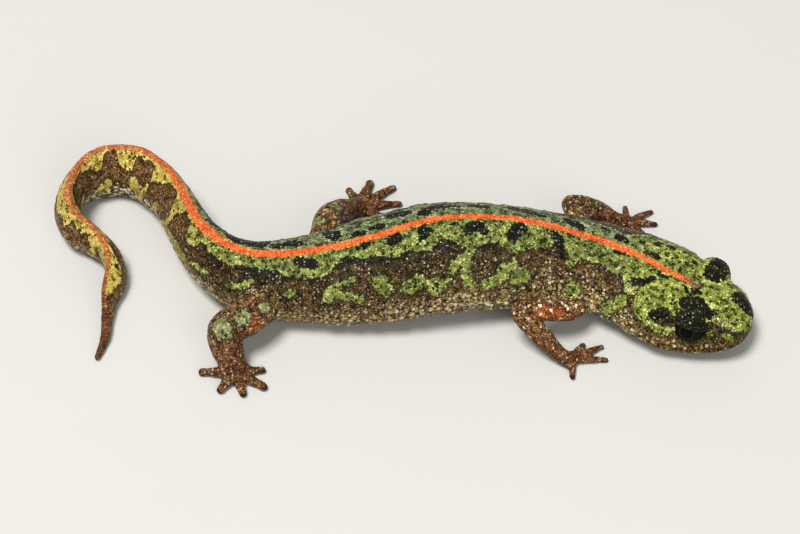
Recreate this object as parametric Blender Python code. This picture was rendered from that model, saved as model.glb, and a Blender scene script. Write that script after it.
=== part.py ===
"""Marbled newt, life size, lying on a level floor with its head to +X.

The body is one loft along a curved spine, parted into named lengths. The head
carries lids and nostrils and is parted from the jaw along the line of the mouth.
Each leg is a loft through its joints whose root follows the body's side, and each
hand or foot is a palm with its digits fused to it. Sizes are in millimetres.
"""

import math

import bmesh
import bpy
import numpy as np
from mathutils import Matrix, Vector

MM = 0.001

# Driving dimensions
TOTAL_LENGTH = 140.0  # snout to tail tip, along the back
GAP = 0.3  # clear space between neighbouring pieces
FRAME_CENTRE = (-0.4, -4.36)  # middle of the outline seen from above
FLOOR_DEPTH, FLOOR_SIDE = 3.0, 150.0  # of the block that trims the model at the floor

# The spine's path over the floor, from the snout to the tip of the tail
SPINE_PATH = [
    (47.8, -13.9),
    (45.2, -13.3),
    (41.3, -12.0),
    (37.0, -9.9),
    (32.7, -7.3),
    (27.7, -5.1),
    (22.3, -4.3),
    (16.5, -4.1),
    (10.4, -4.15),
    (4.2, -4.7),
    (-1.8, -5.9),
    (-7.8, -6.9),
    (-13.6, -7.5),
    (-18.4, -7.4),
    (-22.2, -6.2),
    (-25.3, -3.9),
    (-28.0, -0.7),
    (-30.0, 3.1),
    (-32.0, 6.8),
    (-34.3, 9.9),
    (-37.5, 12.5),
    (-41.6, 13.1),
    (-45.5, 11.1),
    (-47.1, 6.8),
    (-45.7, 2.9),
    (-42.9, 0.9),
    (-40.3, -1.6),
    (-39.4, -4.8),
    (-40.1, -8.2),
    (-40.3, -11.3),
    (-40.3, -14.2),
    (-41.2, -17.7),
]

# Sizes of the body's cross-sections: distance from the snout, then half the width,
# height of the back, of the belly and of the widest level, how pinched the section
# is above and below that level (1 is an ellipse), and its lean to the left.
BODY_SECTIONS = [
    (0.0, 1.2, 4.9, 3.2, 4.0, 0.9, 0.9, 0),
    (0.5, 2.7, 5.7, 2.4, 3.8, 0.9, 0.9, 0),
    (1.4, 4.0, 6.5, 1.6, 3.6, 0.9, 0.9, 0),
    (3.0, 5.1, 7.4, 0.9, 3.4, 0.9, 0.9, 0),
    (5.2, 6.0, 8.1, 0.3, 3.2, 0.9, 0.85, 0),
    (8.0, 6.95, 8.7, -0.2, 3.2, 0.72, 0.85, 0),
    (11.0, 7.6, 9.25, -0.3, 3.4, 0.62, 0.85, 0),
    (14.0, 7.7, 9.5, -0.3, 3.9, 0.68, 0.85, 0),
    (17.0, 7.55, 9.6, -0.2, 4.3, 0.8, 0.9, 1),
    (20.0, 7.3, 9.7, 0.1, 4.5, 0.93, 0.9, 2),
    (24.0, 7.25, 10.2, 0.0, 4.7, 0.95, 0.9, 4),
    (29.0, 7.35, 11.4, -0.2, 5.1, 0.95, 0.9, 8),
    (36.0, 7.9, 12.7, -0.4, 5.7, 0.95, 0.9, 12),
    (44.0, 8.5, 13.2, -0.6, 5.9, 0.95, 0.88, 10),
    (52.0, 8.15, 12.7, -0.6, 5.8, 0.95, 0.88, 4),
    (59.0, 7.15, 11.7, -0.4, 5.4, 0.97, 0.9, 0),
    (65.0, 5.95, 10.9, -0.2, 4.9, 1.0, 0.95, 0),
    (70.0, 5.3, 10.5, 0.0, 4.7, 1.05, 1.0, 0),
    (75.0, 4.3, 10.2, 0.1, 4.5, 1.15, 1.1, 0),
    (80.0, 3.5, 10.0, 0.1, 4.4, 1.3, 1.25, 2),
    (87.0, 2.8, 9.9, 0.0, 4.5, 1.5, 1.5, 6),
    (95.0, 2.4, 9.7, -0.1, 4.5, 1.7, 1.7, 12),
    (103.0, 2.05, 9.2, -0.1, 4.3, 1.8, 1.8, 10),
    (110.0, 1.9, 8.6, -0.1, 4.0, 1.75, 1.7, -8),
    (117.0, 1.7, 7.9, -0.1, 3.5, 1.75, 1.6, -3),
    (123.0, 1.45, 6.6, -0.1, 2.8, 1.7, 1.5, 10),
    (127.0, 1.2, 5.5, -0.1, 2.4, 1.6, 1.5, 19),
    (130.0, 0.95, 4.2, -0.1, 1.9, 1.5, 1.5, 19),
    (132.5, 0.75, 2.7, -0.1, 1.3, 1.2, 1.2, 13),
    (136.0, 0.6, 1.75, -0.1, 0.85, 1.05, 1.05, 4),
    (140.0, 0.3, 1.0, 0.1, 0.55, 1.0, 1.0, 0),
]
COLUMNS = ("half_width", "back", "belly", "widest", "pinch_up", "pinch_down", "lean")

# Twelve costal grooves between the legs
GROOVES_FROM, GROOVES_TO = 30.0, 64.0
GROOVE_COUNT = 12
GROOVE_DEPTH = 0.22

# Lengths that the trunk and tail are parted into: name, start, end, ring spacing
HEAD_END, TAIL_FROM = 17.0, 75.0
TRUNK_SPACING = 1.42  # two rings to each costal groove
LENGTHS = [
    ("neck", HEAD_END, 24.0, 1.5),
    ("chest", 24.0, 37.0, TRUNK_SPACING),
    ("belly", 37.0, 51.0, TRUNK_SPACING),
    ("loin", 51.0, 64.0, TRUNK_SPACING),
    ("pelvis", 64.0, TAIL_FROM, 1.6),
    ("tail_root", TAIL_FROM, 87.0, 1.6),
    ("tail_bend", 87.0, 98.0, 1.6),
    ("tail_loop_top", 98.0, 107.0, 1.5),
    ("tail_loop_side", 107.0, 116.5, 1.5),
    ("tail_return", 116.5, 126.5, 1.6),
    ("tail_tip", 126.5, TOTAL_LENGTH, 1.7),
]
TRUNK_RING, TAIL_RING, HEAD_RING = 28, 20, 36

# Head
SNOUT_RINGS = [0.0, 0.2, 0.5, 0.9, 1.4, 2.1]  # distances from the snout of its first rings
HEAD_RINGS_FROM, HEAD_SPACING = 3.0, 0.95
MOUTH_END = 11.6  # corner of the mouth, behind the eye
MOUTH_AT_SNOUT, MOUTH_AT_EYE, MOUTH_AT_CORNER = 3.5, 2.9, 2.4  # height of the line
MOUTH_LEVEL_TO = 1.0  # the line is level as far back as this
MOUTH_RUN_ON, MOUTH_DROP = 2.0, 0.3  # how far it goes on past the corner, and sinks there
MOUTH_BLOCK_HALF, MOUTH_BLOCK_AHEAD = 10.0, 3.0  # of the block that parts head and jaw
MOUTH_SPACING = 1.3
EYE_ALONG, EYE_SIDE, EYE_HEIGHT, EYE_RADIUS = 7.3, 4.75, 5.9, 2.05
LID_RADIUS, LID_SIDE = 2.7, 4.4
LID_OPENING = (2.1, 1.15, 1.4)  # half of its length, height and depth
EYE_TILT = 20.0  # the eyes look out and a little up
NOSTRIL_ALONG, NOSTRIL_ANGLE = 1.2, 33.0
NOSTRIL_RADIUS, NOSTRIL_DEPTH = 0.34, 0.6
BALL_SEGMENTS, BALL_RINGS = 20, 12
NOSTRIL_SEGMENTS, NOSTRIL_RINGS = 8, 6

# Legs: where each leaves the body, its joints as (x, y, height) over the floor, the
# radius at each joint, and the digits' tips with the digits' root radius.
LEG_RING, DIGIT_RING = 12, 8
LEGS = {
    "right_fore": {
        "along": 24.8,
        "side": -1,
        "height": 4.5,
        "joints": [(23.4, -12.5, 5.0), (16.5, -13.7, 6.2), (18.8, -15.8, 3.9), (22.2, -18.0, 1.35)],
        "radii": [1.75, 1.55, 1.4, 1.35, 1.05],
        "names": ("right_upper_arm", "right_forearm", "right_hand"),
        "digit_radius": 0.62,
        "digits": [(25.2, -14.9), (27.9, -15.3), (28.4, -17.7), (23.3, -21.1)],
    },
    "left_fore": {
        "along": 26.0,
        "side": 1,
        "height": 4.8,
        "joints": [(24.8, 3.3, 5.8), (24.3, 5.6, 5.9), (27.5, 6.4, 3.9), (31.2, 6.5, 1.35)],
        "radii": [1.75, 1.6, 1.5, 1.45, 1.1],
        "names": ("left_upper_arm", "left_forearm", "left_hand"),
        "digit_radius": 0.62,
        "digits": [(34.9, 4.6), (36.9, 6.7), (36.4, 9.2), (32.4, 10.2)],
    },
    "right_hind": {
        "along": 68.0,
        "side": -1,
        "height": 4.6,
        "joints": [(-20.4, -14.1, 5.4), (-23.5, -16.4, 5.3), (-23.3, -17.9, 3.6), (-22.6, -19.4, 1.6)],
        "radii": [2.6, 2.6, 2.35, 2.25, 1.8],
        "names": ("right_thigh", "right_shank", "right_foot"),
        "digit_radius": 0.8,
        "digits": [(-18.1, -19.5), (-17.9, -22.6), (-20.9, -24.0), (-24.4, -23.4), (-27.2, -19.9)],
    },
    "left_hind": {
        "along": 64.5,
        "side": 1,
        "height": 4.6,
        "joints": [(-10.6, -0.3, 5.3), (-10.0, 3.6, 5.2), (-8.4, 6.4, 3.4), (-6.9, 8.8, 1.5)],
        "radii": [2.2, 2.15, 1.95, 1.8, 1.4],
        "names": ("left_thigh", "left_shank", "left_foot"),
        "digit_radius": 0.78,
        "digits": [(-2.2, 7.6), (0.4, 10.6), (-0.6, 13.9), (-4.2, 14.9), (-7.6, 13.4)],
    },
}
LEG_STEP = 1.1
LEG_EVENING = 2.3  # how far each way a leg's direction is evened out at a bend
JOINT_OVERRUN = 0.7  # how far each tube runs past a joint before it is trimmed there
ROOT_DEPTH = 0.35  # where a leg's middle line starts, of the body's half width
LEG_REACH = 13.0  # length of trunk, each way, that a leg is cut clear of
PALM_REACH = 0.42  # how far the palm goes from the wrist towards the digits' tips
PALM_SPREAD, PALM_END = 1.25, 1.0  # width of the palm and of its end, of the wrist's
PALM_FLATTEN = 0.62
PALM_HEIGHT = 0.75  # height of the palm's end
DIGIT_ROOT = 0.3  # how far along the palm the digits' roots are sunk
DIGIT_ROOT_HEIGHT = 0.8  # of the digit's radius, so that its underside meets the floor
DIGIT_TIP_SHARE = 0.6  # radius of a digit's end, of its root's
DIGIT_TIP_HEIGHT = 0.9  # height of the end's middle, of its radius
DIGIT_ARCH = 0.3  # how far its middle stands over the line from root to tip
DIGIT_ROUND_FROM, DIGIT_ROUNDING = 0.85, 0.8  # where its end is rounded off, and how much
DIGIT_STEP = 0.9

SHARP_ANGLE = 50.0  # edges bent more than this, in degrees, are shaded as sharp
TRIM_REACH = 1e-7  # points this near a trimming plane, in metres, count as on it

SKIN_BROWN = (0.10, 0.065, 0.035, 1.0)
SKIN_GREEN = (0.20, 0.27, 0.06, 1.0)
EYE_DARK = (0.02, 0.015, 0.01, 1.0)
SKIN_ROUGHNESS, EYE_ROUGHNESS = 0.5, 0.1


class Curve:
    """A smooth curve through points, measured along its own length."""

    SPAN_STEPS = 24

    def __init__(self, points):
        given = np.array(points, float)
        ends = np.vstack([2 * given[0] - given[1], given, 2 * given[-1] - given[-2]])
        dense = []
        for before, start, end, after in zip(ends, ends[1:], ends[2:], ends[3:]):
            for t in np.arange(self.SPAN_STEPS) / self.SPAN_STEPS:
                dense.append(
                    0.5
                    * (
                        2 * start
                        + (end - before) * t
                        + (2 * before - 5 * start + 4 * end - after) * t**2
                        + (3 * start - before - 3 * end + after) * t**3
                    )
                )
        self.points = np.array([*dense, given[-1]])
        steps = np.linalg.norm(np.diff(self.points, axis=0), axis=1)
        self.distance = np.concatenate([[0.0], np.cumsum(steps)])
        self.length = float(self.distance[-1])

    def at(self, distance):
        """The point this far along the curve."""
        return np.array([np.interp(distance, self.distance, c) for c in self.points.T])

    def heading(self, distance, reach=0.8):
        """The direction of travel there, evened out over a short reach."""
        low = max(distance - reach, 0.0)
        high = min(distance + reach, self.length)
        way = self.at(high) - self.at(low)
        return way / np.linalg.norm(way)


def even_curve(xs, ys, x):
    """The height at x of a smooth line through the points that never overshoots them."""
    xs, ys = np.asarray(xs, float), np.asarray(ys, float)
    step, rise = np.diff(xs), np.diff(ys)
    slope = rise / step
    tangent = np.zeros(len(xs))
    for i in range(1, len(xs) - 1):
        if slope[i - 1] * slope[i] > 0:
            first = 2 * step[i] + step[i - 1]
            second = step[i] + 2 * step[i - 1]
            tangent[i] = (first + second) / (first / slope[i - 1] + second / slope[i])
    tangent[0], tangent[-1] = slope[0], slope[-1]
    i = int(np.clip(np.searchsorted(xs, x) - 1, 0, len(xs) - 2))
    t = (x - xs[i]) / step[i]
    return (
        ys[i] * (1 + 2 * t) * (1 - t) ** 2
        + tangent[i] * step[i] * t * (1 - t) ** 2
        + ys[i + 1] * t**2 * (3 - 2 * t)
        + tangent[i + 1] * step[i] * t**2 * (t - 1)
    )


SPINE = Curve([(x - FRAME_CENTRE[0], y - FRAME_CENTRE[1], 0.0) for x, y in SPINE_PATH])
SECTION_TABLE = np.array(BODY_SECTIONS, float)


def section_size(name, along):
    """One named size of the body's cross-section at this distance from the snout."""
    column = 1 + COLUMNS.index(name)
    return even_curve(SECTION_TABLE[:, 0], SECTION_TABLE[:, column], along)


def spine_frame(along):
    """The point on the floor below the spine, and the directions forward, left and up."""
    share = along / TOTAL_LENGTH * SPINE.length
    forward = -SPINE.heading(share)
    left = np.cross((0.0, 0.0, 1.0), forward)
    return SPINE.at(share), forward, left, np.array((0.0, 0.0, 1.0))


def surface_point(along, angle, grow=0.0):
    """The body's surface at this distance from the snout, turned from left towards up."""
    foot, forward, left, up = spine_frame(along)
    size = {name: section_size(name, along) for name in COLUMNS}
    across, rise = math.cos(angle), math.sin(angle)
    pinch = size["pinch_up"] if rise > 0 else size["pinch_down"]
    reach = (size["back"] if rise > 0 else size["belly"]) - size["widest"]
    half_width = size["half_width"] - groove_depth(along) + grow
    side = half_width * math.copysign(abs(across) ** pinch, across)
    height = (abs(reach) + grow) * rise
    lean = math.radians(size["lean"])
    leftward = side * math.cos(lean) + height * math.sin(lean)
    upward = size["widest"] + height * math.cos(lean) - side * math.sin(lean)
    return foot + left * leftward + up * upward


def groove_depth(along):
    """How far the costal grooves draw the flanks in at this distance from the snout."""
    if not GROOVES_FROM <= along <= GROOVES_TO:
        return 0.0
    turns = (along - GROOVES_FROM) / (GROOVES_TO - GROOVES_FROM) * GROOVE_COUNT
    return GROOVE_DEPTH * (0.5 - 0.5 * math.cos(2 * math.pi * turns))


def body_ring(along, count, grow=0.0):
    """The body's cross-section at this distance from the snout, as points round it."""
    return [surface_point(along, 2 * math.pi * k / count, grow) for k in range(count)]


def body_point(along, side, height):
    """A point this far to the left of the spine and above the floor, with no lean."""
    foot, forward, left, up = spine_frame(along)
    return foot + left * side + up * height


def new_material(name, colour, roughness):
    """A plain finish of one colour."""
    material = bpy.data.materials.new(name)
    material.use_nodes = True
    shader = material.node_tree.nodes["Principled BSDF"]
    shader.inputs["Base Color"].default_value = colour
    shader.inputs["Roughness"].default_value = roughness
    shader.inputs["Metallic"].default_value = 0.0
    return material


def new_object(name, mesh, collection):
    """Puts a mesh into the scene as a named object of that collection."""
    obj = bpy.data.objects.new(name, mesh)
    collection.objects.link(obj)
    return obj


def loft(name, rings, collection):
    """A closed skin over rings of points, in millimetres, capped at both ends."""
    shape = bmesh.new()
    loops = [[shape.verts.new(Vector(p) * MM) for p in ring] for ring in rings]
    count = len(loops[0])
    for near, far in zip(loops, loops[1:]):
        for i in range(count):
            after = (i + 1) % count
            shape.faces.new((near[i], near[after], far[after], far[i]))
    shape.faces.new(list(reversed(loops[0])))
    shape.faces.new(loops[-1])
    bmesh.ops.recalc_face_normals(shape, faces=shape.faces)
    return finish_mesh(name, shape, collection)


def ball(name, centre, radii, turn, collection, segments=BALL_SEGMENTS, rings=BALL_RINGS):
    """An ellipsoid at a place in millimetres, turned by a rotation matrix."""
    shape = bmesh.new()
    bmesh.ops.create_uvsphere(shape, u_segments=segments, v_segments=rings, radius=MM)
    bmesh.ops.scale(shape, vec=Vector(radii), verts=shape.verts)
    bmesh.ops.rotate(shape, cent=(0, 0, 0), matrix=turn, verts=shape.verts)
    bmesh.ops.translate(shape, vec=Vector(centre) * MM, verts=shape.verts)
    return finish_mesh(name, shape, collection)


def finish_mesh(name, shape, collection):
    """Turns a working mesh into an object."""
    mesh = bpy.data.meshes.new(name)
    shape.to_mesh(mesh)
    shape.free()
    return new_object(name, mesh, collection)


def stations(start, end, spacing):
    """Evenly spaced distances from start to end, about this far apart."""
    steps = max(2, round((end - start) / spacing))
    return [start + (end - start) * i / steps for i in range(steps + 1)]


def combine(obj, others, operation, solver="EXACT"):
    """Joins or cuts a mesh object with other mesh objects, then removes those."""
    helpers = bpy.data.collections.new("pieces of " + obj.name)
    bpy.context.scene.collection.children.link(helpers)
    for other in others:
        for home in list(other.users_collection):
            home.objects.unlink(other)
        helpers.objects.link(other)
    modifier = obj.modifiers.new(operation.lower(), "BOOLEAN")
    modifier.operation = operation
    modifier.operand_type = "COLLECTION"
    modifier.collection = helpers
    modifier.solver = solver
    apply_modifiers(obj)
    for other in others:
        bpy.data.objects.remove(other)
    bpy.data.collections.remove(helpers)
    return obj


def apply_modifiers(obj):
    """Replaces an object's mesh with its evaluated mesh."""
    bpy.context.view_layer.update()
    graph = bpy.context.evaluated_depsgraph_get()
    old = obj.data
    obj.data = bpy.data.meshes.new_from_object(obj.evaluated_get(graph))
    obj.modifiers.clear()
    bpy.data.meshes.remove(old)


def keep_largest(obj):
    """Drops every closed surface of a mesh but the one with the most volume."""
    shape = bmesh.new()
    shape.from_mesh(obj.data)
    unseen, surfaces = set(shape.faces), []
    while unseen:
        start = unseen.pop()
        surface, front = {start}, [start]
        while front:
            for edge in front.pop().edges:
                for face in edge.link_faces:
                    if face in unseen:
                        unseen.discard(face)
                        surface.add(face)
                        front.append(face)
        surfaces.append(surface)
    if len(surfaces) > 1:
        surfaces.sort(key=surface_volume)
        loose = [face for surface in surfaces[:-1] for face in surface]
        bmesh.ops.delete(shape, geom=loose, context="FACES")
    shape.to_mesh(obj.data)
    shape.free()
    return obj


def surface_volume(surface):
    """The space inside a closed set of faces, for comparing sizes."""
    total = 0.0
    for face in surface:
        corners = [v.co for v in face.verts]
        for second, third in zip(corners[1:], corners[2:]):
            total += corners[0].dot(second.cross(third)) / 6
    return abs(total)


def trim(obj, point, normal):
    """Cuts off what lies behind a plane and closes the cut with a flat."""
    shape = bmesh.new()
    shape.from_mesh(obj.data)
    cut = bmesh.ops.bisect_plane(
        shape,
        geom=[*shape.verts, *shape.edges, *shape.faces],
        dist=TRIM_REACH,
        plane_co=Vector(point) * MM,
        plane_no=Vector(normal),
        clear_inner=True,
    )
    edges = [e for e in cut["geom_cut"] if isinstance(e, bmesh.types.BMEdge) and e.is_boundary]
    if edges:
        bmesh.ops.holes_fill(shape, edges=edges, sides=0)
    bmesh.ops.triangulate(shape, faces=[f for f in shape.faces if len(f.verts) > 4])
    bmesh.ops.recalc_face_normals(shape, faces=shape.faces)
    shape.to_mesh(obj.data)
    shape.free()
    return obj


def cut_at_floor(obj, helpers):
    """Cuts off what reaches below the floor, which leaves small flats to rest on."""
    shape = bmesh.new()
    bmesh.ops.create_cube(shape, size=1.0)
    size = Vector((FLOOR_SIDE, FLOOR_SIDE, FLOOR_DEPTH)) * MM
    bmesh.ops.scale(shape, vec=size, verts=shape.verts)
    bmesh.ops.translate(shape, vec=(0.0, 0.0, -size.z / 2), verts=shape.verts)
    floor = finish_mesh("floor block", shape, helpers)
    return combine(obj, [floor], "DIFFERENCE")


def dress(obj, material):
    """Gives an object its finish, with round shading and sharp cut edges."""
    obj.data.materials.clear()
    obj.data.materials.append(material)
    obj.data.shade_smooth()
    obj.data.set_sharp_from_angle(angle=math.radians(SHARP_ANGLE))
    return obj


def build_length(name, start, end, spacing, model, helpers):
    """One length of the trunk or tail."""
    first = start + GAP / 2
    last = end if end >= TOTAL_LENGTH else end - GAP / 2
    count = TAIL_RING if start >= TAIL_FROM else TRUNK_RING
    rings = [body_ring(along, count) for along in stations(first, last, spacing)]
    return cut_at_floor(loft(name, rings, model), helpers)


def head_stations(last):
    """Distances from the snout for the head's rings, closer together at the snout."""
    return SNOUT_RINGS + stations(HEAD_RINGS_FROM, last, HEAD_SPACING)


def mouth_height(along):
    """Height of the line of the mouth above the floor."""
    return even_curve(
        (-1.0, MOUTH_LEVEL_TO, EYE_ALONG, MOUTH_END, MOUTH_END + MOUTH_RUN_ON),
        (MOUTH_AT_SNOUT, MOUTH_AT_SNOUT, MOUTH_AT_EYE, MOUTH_AT_CORNER, MOUTH_AT_CORNER - MOUTH_DROP),
        along,
    )


def below_mouth(name, raise_by, back_by, collection):
    """A block that holds all of the head below the mouth and ahead of its corner."""
    half = MOUTH_BLOCK_HALF
    rings = []
    for along in [-MOUTH_BLOCK_AHEAD, *stations(0.0, MOUTH_END + back_by, MOUTH_SPACING)]:
        inside = max(along, 0.0)
        top = mouth_height(inside) + raise_by
        corners = [(half, top), (half, -FLOOR_DEPTH), (-half, -FLOOR_DEPTH), (-half, top)]
        ring = [body_point(inside, side, height) for side, height in corners]
        ahead = spine_frame(0.0)[1] * (inside - along)
        rings.append([point + ahead for point in ring])
    return loft(name, rings, collection)


def head_turn(side):
    """Rotation from straight sideways to the way the eye of that side looks."""
    foot, forward, left, up = spine_frame(EYE_ALONG)
    tilt = math.radians(EYE_TILT)
    out = left * side * math.cos(tilt) + up * math.sin(tilt)
    over = np.cross(forward, out) * side * -1
    over = over if over[2] > 0 else -over
    across = np.cross(over, out)
    return Matrix((across, over, out)).transposed(), out


def build_head(model, helpers, skin):
    """Head and jaw, parted at the mouth, with lids, sockets and nostrils."""
    last = HEAD_END - GAP / 2
    rings = [body_ring(along, HEAD_RING) for along in head_stations(last)]
    head = loft("head", rings, model)
    plain = Matrix.Identity(3)
    lids, cuts = [], []
    for side in (1, -1):
        turn, out = head_turn(side)
        lid_centre = body_point(EYE_ALONG, LID_SIDE * side, EYE_HEIGHT)
        eye_centre = body_point(EYE_ALONG, EYE_SIDE * side, EYE_HEIGHT)
        lids.append(ball("lid", lid_centre, (LID_RADIUS,) * 3, plain, helpers))
        cuts.append(ball("socket", eye_centre, (EYE_RADIUS + GAP,) * 3, plain, helpers))
        cuts.append(ball("opening", eye_centre + out * EYE_RADIUS, LID_OPENING, turn, helpers))
        angle = math.radians(NOSTRIL_ANGLE if side > 0 else 180.0 - NOSTRIL_ANGLE)
        nostril = surface_point(NOSTRIL_ALONG, angle)
        size = (NOSTRIL_RADIUS, NOSTRIL_RADIUS, NOSTRIL_DEPTH)
        cuts.append(ball("nostril", nostril, size, turn, helpers, NOSTRIL_SEGMENTS, NOSTRIL_RINGS))
    combine(head, lids, "UNION")
    combine(head, cuts, "DIFFERENCE")
    jaw = new_object("jaw", head.data.copy(), model)
    combine(jaw, [below_mouth("jaw block", 0.0, 0.0, helpers)], "INTERSECT")
    combine(head, [below_mouth("mouth cut", GAP, GAP, helpers)], "DIFFERENCE")
    for obj in (head, jaw):
        keep_largest(cut_at_floor(obj, helpers))
        dress(obj, skin)


def build_eyes(model, eye_finish):
    """Both eyeballs, each alone in its socket."""
    for side, name in ((1, "left_eye"), (-1, "right_eye")):
        centre = body_point(EYE_ALONG, EYE_SIDE * side, EYE_HEIGHT)
        eye = ball(name, centre, (EYE_RADIUS,) * 3, Matrix.Identity(3), model)
        dress(eye, eye_finish)


def tube_rings(curve, start, end, radius_at, count, spacing, evening=0.8, flatten_at=None):
    """Rings round a curve between two distances, as wide as radius_at says."""
    rings = []
    for distance in stations(start, end, spacing):
        middle, forward = curve.at(distance), curve.heading(distance, evening)
        side = np.cross((0.0, 0.0, 1.0), forward)
        side = side / np.linalg.norm(side)
        over = np.cross(forward, side)
        radius = radius_at(distance)
        height = radius * (flatten_at(distance) if flatten_at else 1.0)
        turns = [2 * math.pi * k / count for k in range(count)]
        rings.append(
            [middle + side * radius * math.cos(t) + over * height * math.sin(t) for t in turns]
        )
    return rings


def in_frame(x, y, z):
    """A point given over the floor, moved into the model's own frame."""
    return np.array((x - FRAME_CENTRE[0], y - FRAME_CENTRE[1], z))


def nearest_distance(curve, point):
    """How far along the curve its nearest point to this one is."""
    gaps = np.linalg.norm(curve.points - point, axis=1)
    return float(curve.distance[int(np.argmin(gaps))])


def leg_curve(leg):
    """A leg's middle line from inside the body to the palm's end, and its joints on it."""
    sunk = ROOT_DEPTH * leg["side"] * section_size("half_width", leg["along"])
    root = body_point(leg["along"], sunk, leg["height"])
    joints = [in_frame(*joint) for joint in leg["joints"]]
    tips = [in_frame(x, y, 0.0) for x, y in leg["digits"]]
    wrist = joints[-1]
    palm_end = wrist + PALM_REACH * (sum(tips) / len(tips) - wrist)
    palm_end[2] = PALM_HEIGHT
    curve = Curve([root, *joints, palm_end])
    return curve, [0.0] + [nearest_distance(curve, joint) for joint in joints]


def grown_trunk(leg, helpers):
    """The stretch of trunk beside a leg, larger all round by the gap."""
    first, last = leg["along"] - LEG_REACH, leg["along"] + LEG_REACH
    rings = [body_ring(along, TRUNK_RING, GAP) for along in stations(first, last, TRUNK_SPACING)]
    return loft("grown trunk", rings, helpers)


def digit(root, tip, radius, helpers):
    """One finger or toe, lying along the floor with a rounded, thinner end."""
    end = np.array((tip[0], tip[1], radius * DIGIT_TIP_SHARE * DIGIT_TIP_HEIGHT))
    knuckle = (root + end) / 2 + np.array((0.0, 0.0, DIGIT_ARCH))
    curve = Curve([root, knuckle, end])

    def radius_at(distance):
        share = distance / curve.length
        taper = 1 - (1 - DIGIT_TIP_SHARE) * share
        rounded = max(share - DIGIT_ROUND_FROM, 0.0) / (1 - DIGIT_ROUND_FROM)
        rounding = math.sqrt(1 - DIGIT_ROUNDING * rounded**2)
        return radius * taper * rounding

    rings = tube_rings(curve, 0.0, curve.length, radius_at, DIGIT_RING, DIGIT_STEP)
    return loft("digit", rings, helpers)


def build_leg(leg, model, helpers, skin):
    """Upper limb, lower limb and the hand or foot, parted at the elbow and the wrist."""
    curve, marks = leg_curve(leg)
    bend, wrist = marks[2], marks[4]
    wrist_radius = leg["radii"][-1]
    stops = [*marks, (wrist + curve.length) / 2, curve.length]
    sizes = [*leg["radii"], wrist_radius * PALM_SPREAD, wrist_radius * PALM_END]

    def radius_at(distance):
        return even_curve(stops, sizes, distance)

    def flatten_at(distance):
        palm_stops = (0.0, wrist, stops[-2], curve.length)
        return even_curve(palm_stops, (1.0, 1.0, PALM_FLATTEN, PALM_FLATTEN), distance)

    def tube(name, start, end, spacing):
        rings = tube_rings(
            curve, start, end, radius_at, LEG_RING, spacing, LEG_EVENING, flatten_at
        )
        return loft(name, rings, model)

    def part_at(mark, before, after):
        middle, forward = curve.at(mark), curve.heading(mark, LEG_EVENING)
        trim(before, middle - forward * GAP / 2, -forward)
        trim(after, middle + forward * GAP / 2, forward)

    upper_name, lower_name, end_name = leg["names"]
    upper = tube(upper_name, 0.0, bend + JOINT_OVERRUN, LEG_STEP)
    lower = tube(lower_name, bend - JOINT_OVERRUN, wrist + JOINT_OVERRUN, LEG_STEP)
    palm = tube(end_name, wrist - JOINT_OVERRUN, curve.length, LEG_STEP / 2)
    part_at(bend, upper, lower)
    part_at(wrist, lower, palm)
    for piece in (upper, lower):
        combine(piece, [grown_trunk(leg, helpers)], "DIFFERENCE")
    root = curve.at(wrist + (curve.length - wrist) * DIGIT_ROOT + leg["digit_radius"])
    root[2] = DIGIT_ROOT_HEIGHT * leg["digit_radius"]
    tips = [in_frame(x, y, 0.0) for x, y in leg["digits"]]
    digits = [digit(root, tip, leg["digit_radius"], helpers) for tip in tips]
    combine(palm, digits, "UNION", "MANIFOLD")
    for piece in (upper, lower, palm):
        keep_largest(cut_at_floor(piece, helpers))
        dress(piece, skin)


def clear_scene():
    """Removes every object that the file opens with."""
    for obj in list(bpy.data.objects):
        bpy.data.objects.remove(obj)


def new_collection(name):
    """A collection of that name in the scene."""
    collection = bpy.data.collections.new(name)
    bpy.context.scene.collection.children.link(collection)
    return collection


def main():
    """Builds every piece of the newt."""
    clear_scene()
    model = new_collection("marbled newt")
    helpers = new_collection("cutters")
    body_skin = new_material("marbled skin", SKIN_GREEN, SKIN_ROUGHNESS)
    leg_skin = new_material("leg skin", SKIN_BROWN, SKIN_ROUGHNESS)
    eye_finish = new_material("eye", EYE_DARK, EYE_ROUGHNESS)
    build_head(model, helpers, body_skin)
    build_eyes(model, eye_finish)
    for name, start, end, spacing in LENGTHS:
        dress(build_length(name, start, end, spacing, model, helpers), body_skin)
    for leg in LEGS.values():
        build_leg(leg, model, helpers, leg_skin)
    bpy.data.collections.remove(helpers)


main()
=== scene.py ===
"""Marbled newt, life size, lying on a plain pale floor with its head to +X.

One skin covers the whole animal: trunk, head, tail, legs and digits are fused into one
surface, which then gets its folds, warts and lids, and a map of its markings. The eyes
are separate. Sizes are in millimetres and are turned into metres when a mesh is made.
"""

import logging
import math
from dataclasses import dataclass
from enum import Enum

import bmesh
import bpy
import numpy as np
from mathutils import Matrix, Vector
from mathutils.bvhtree import BVHTree


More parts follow.
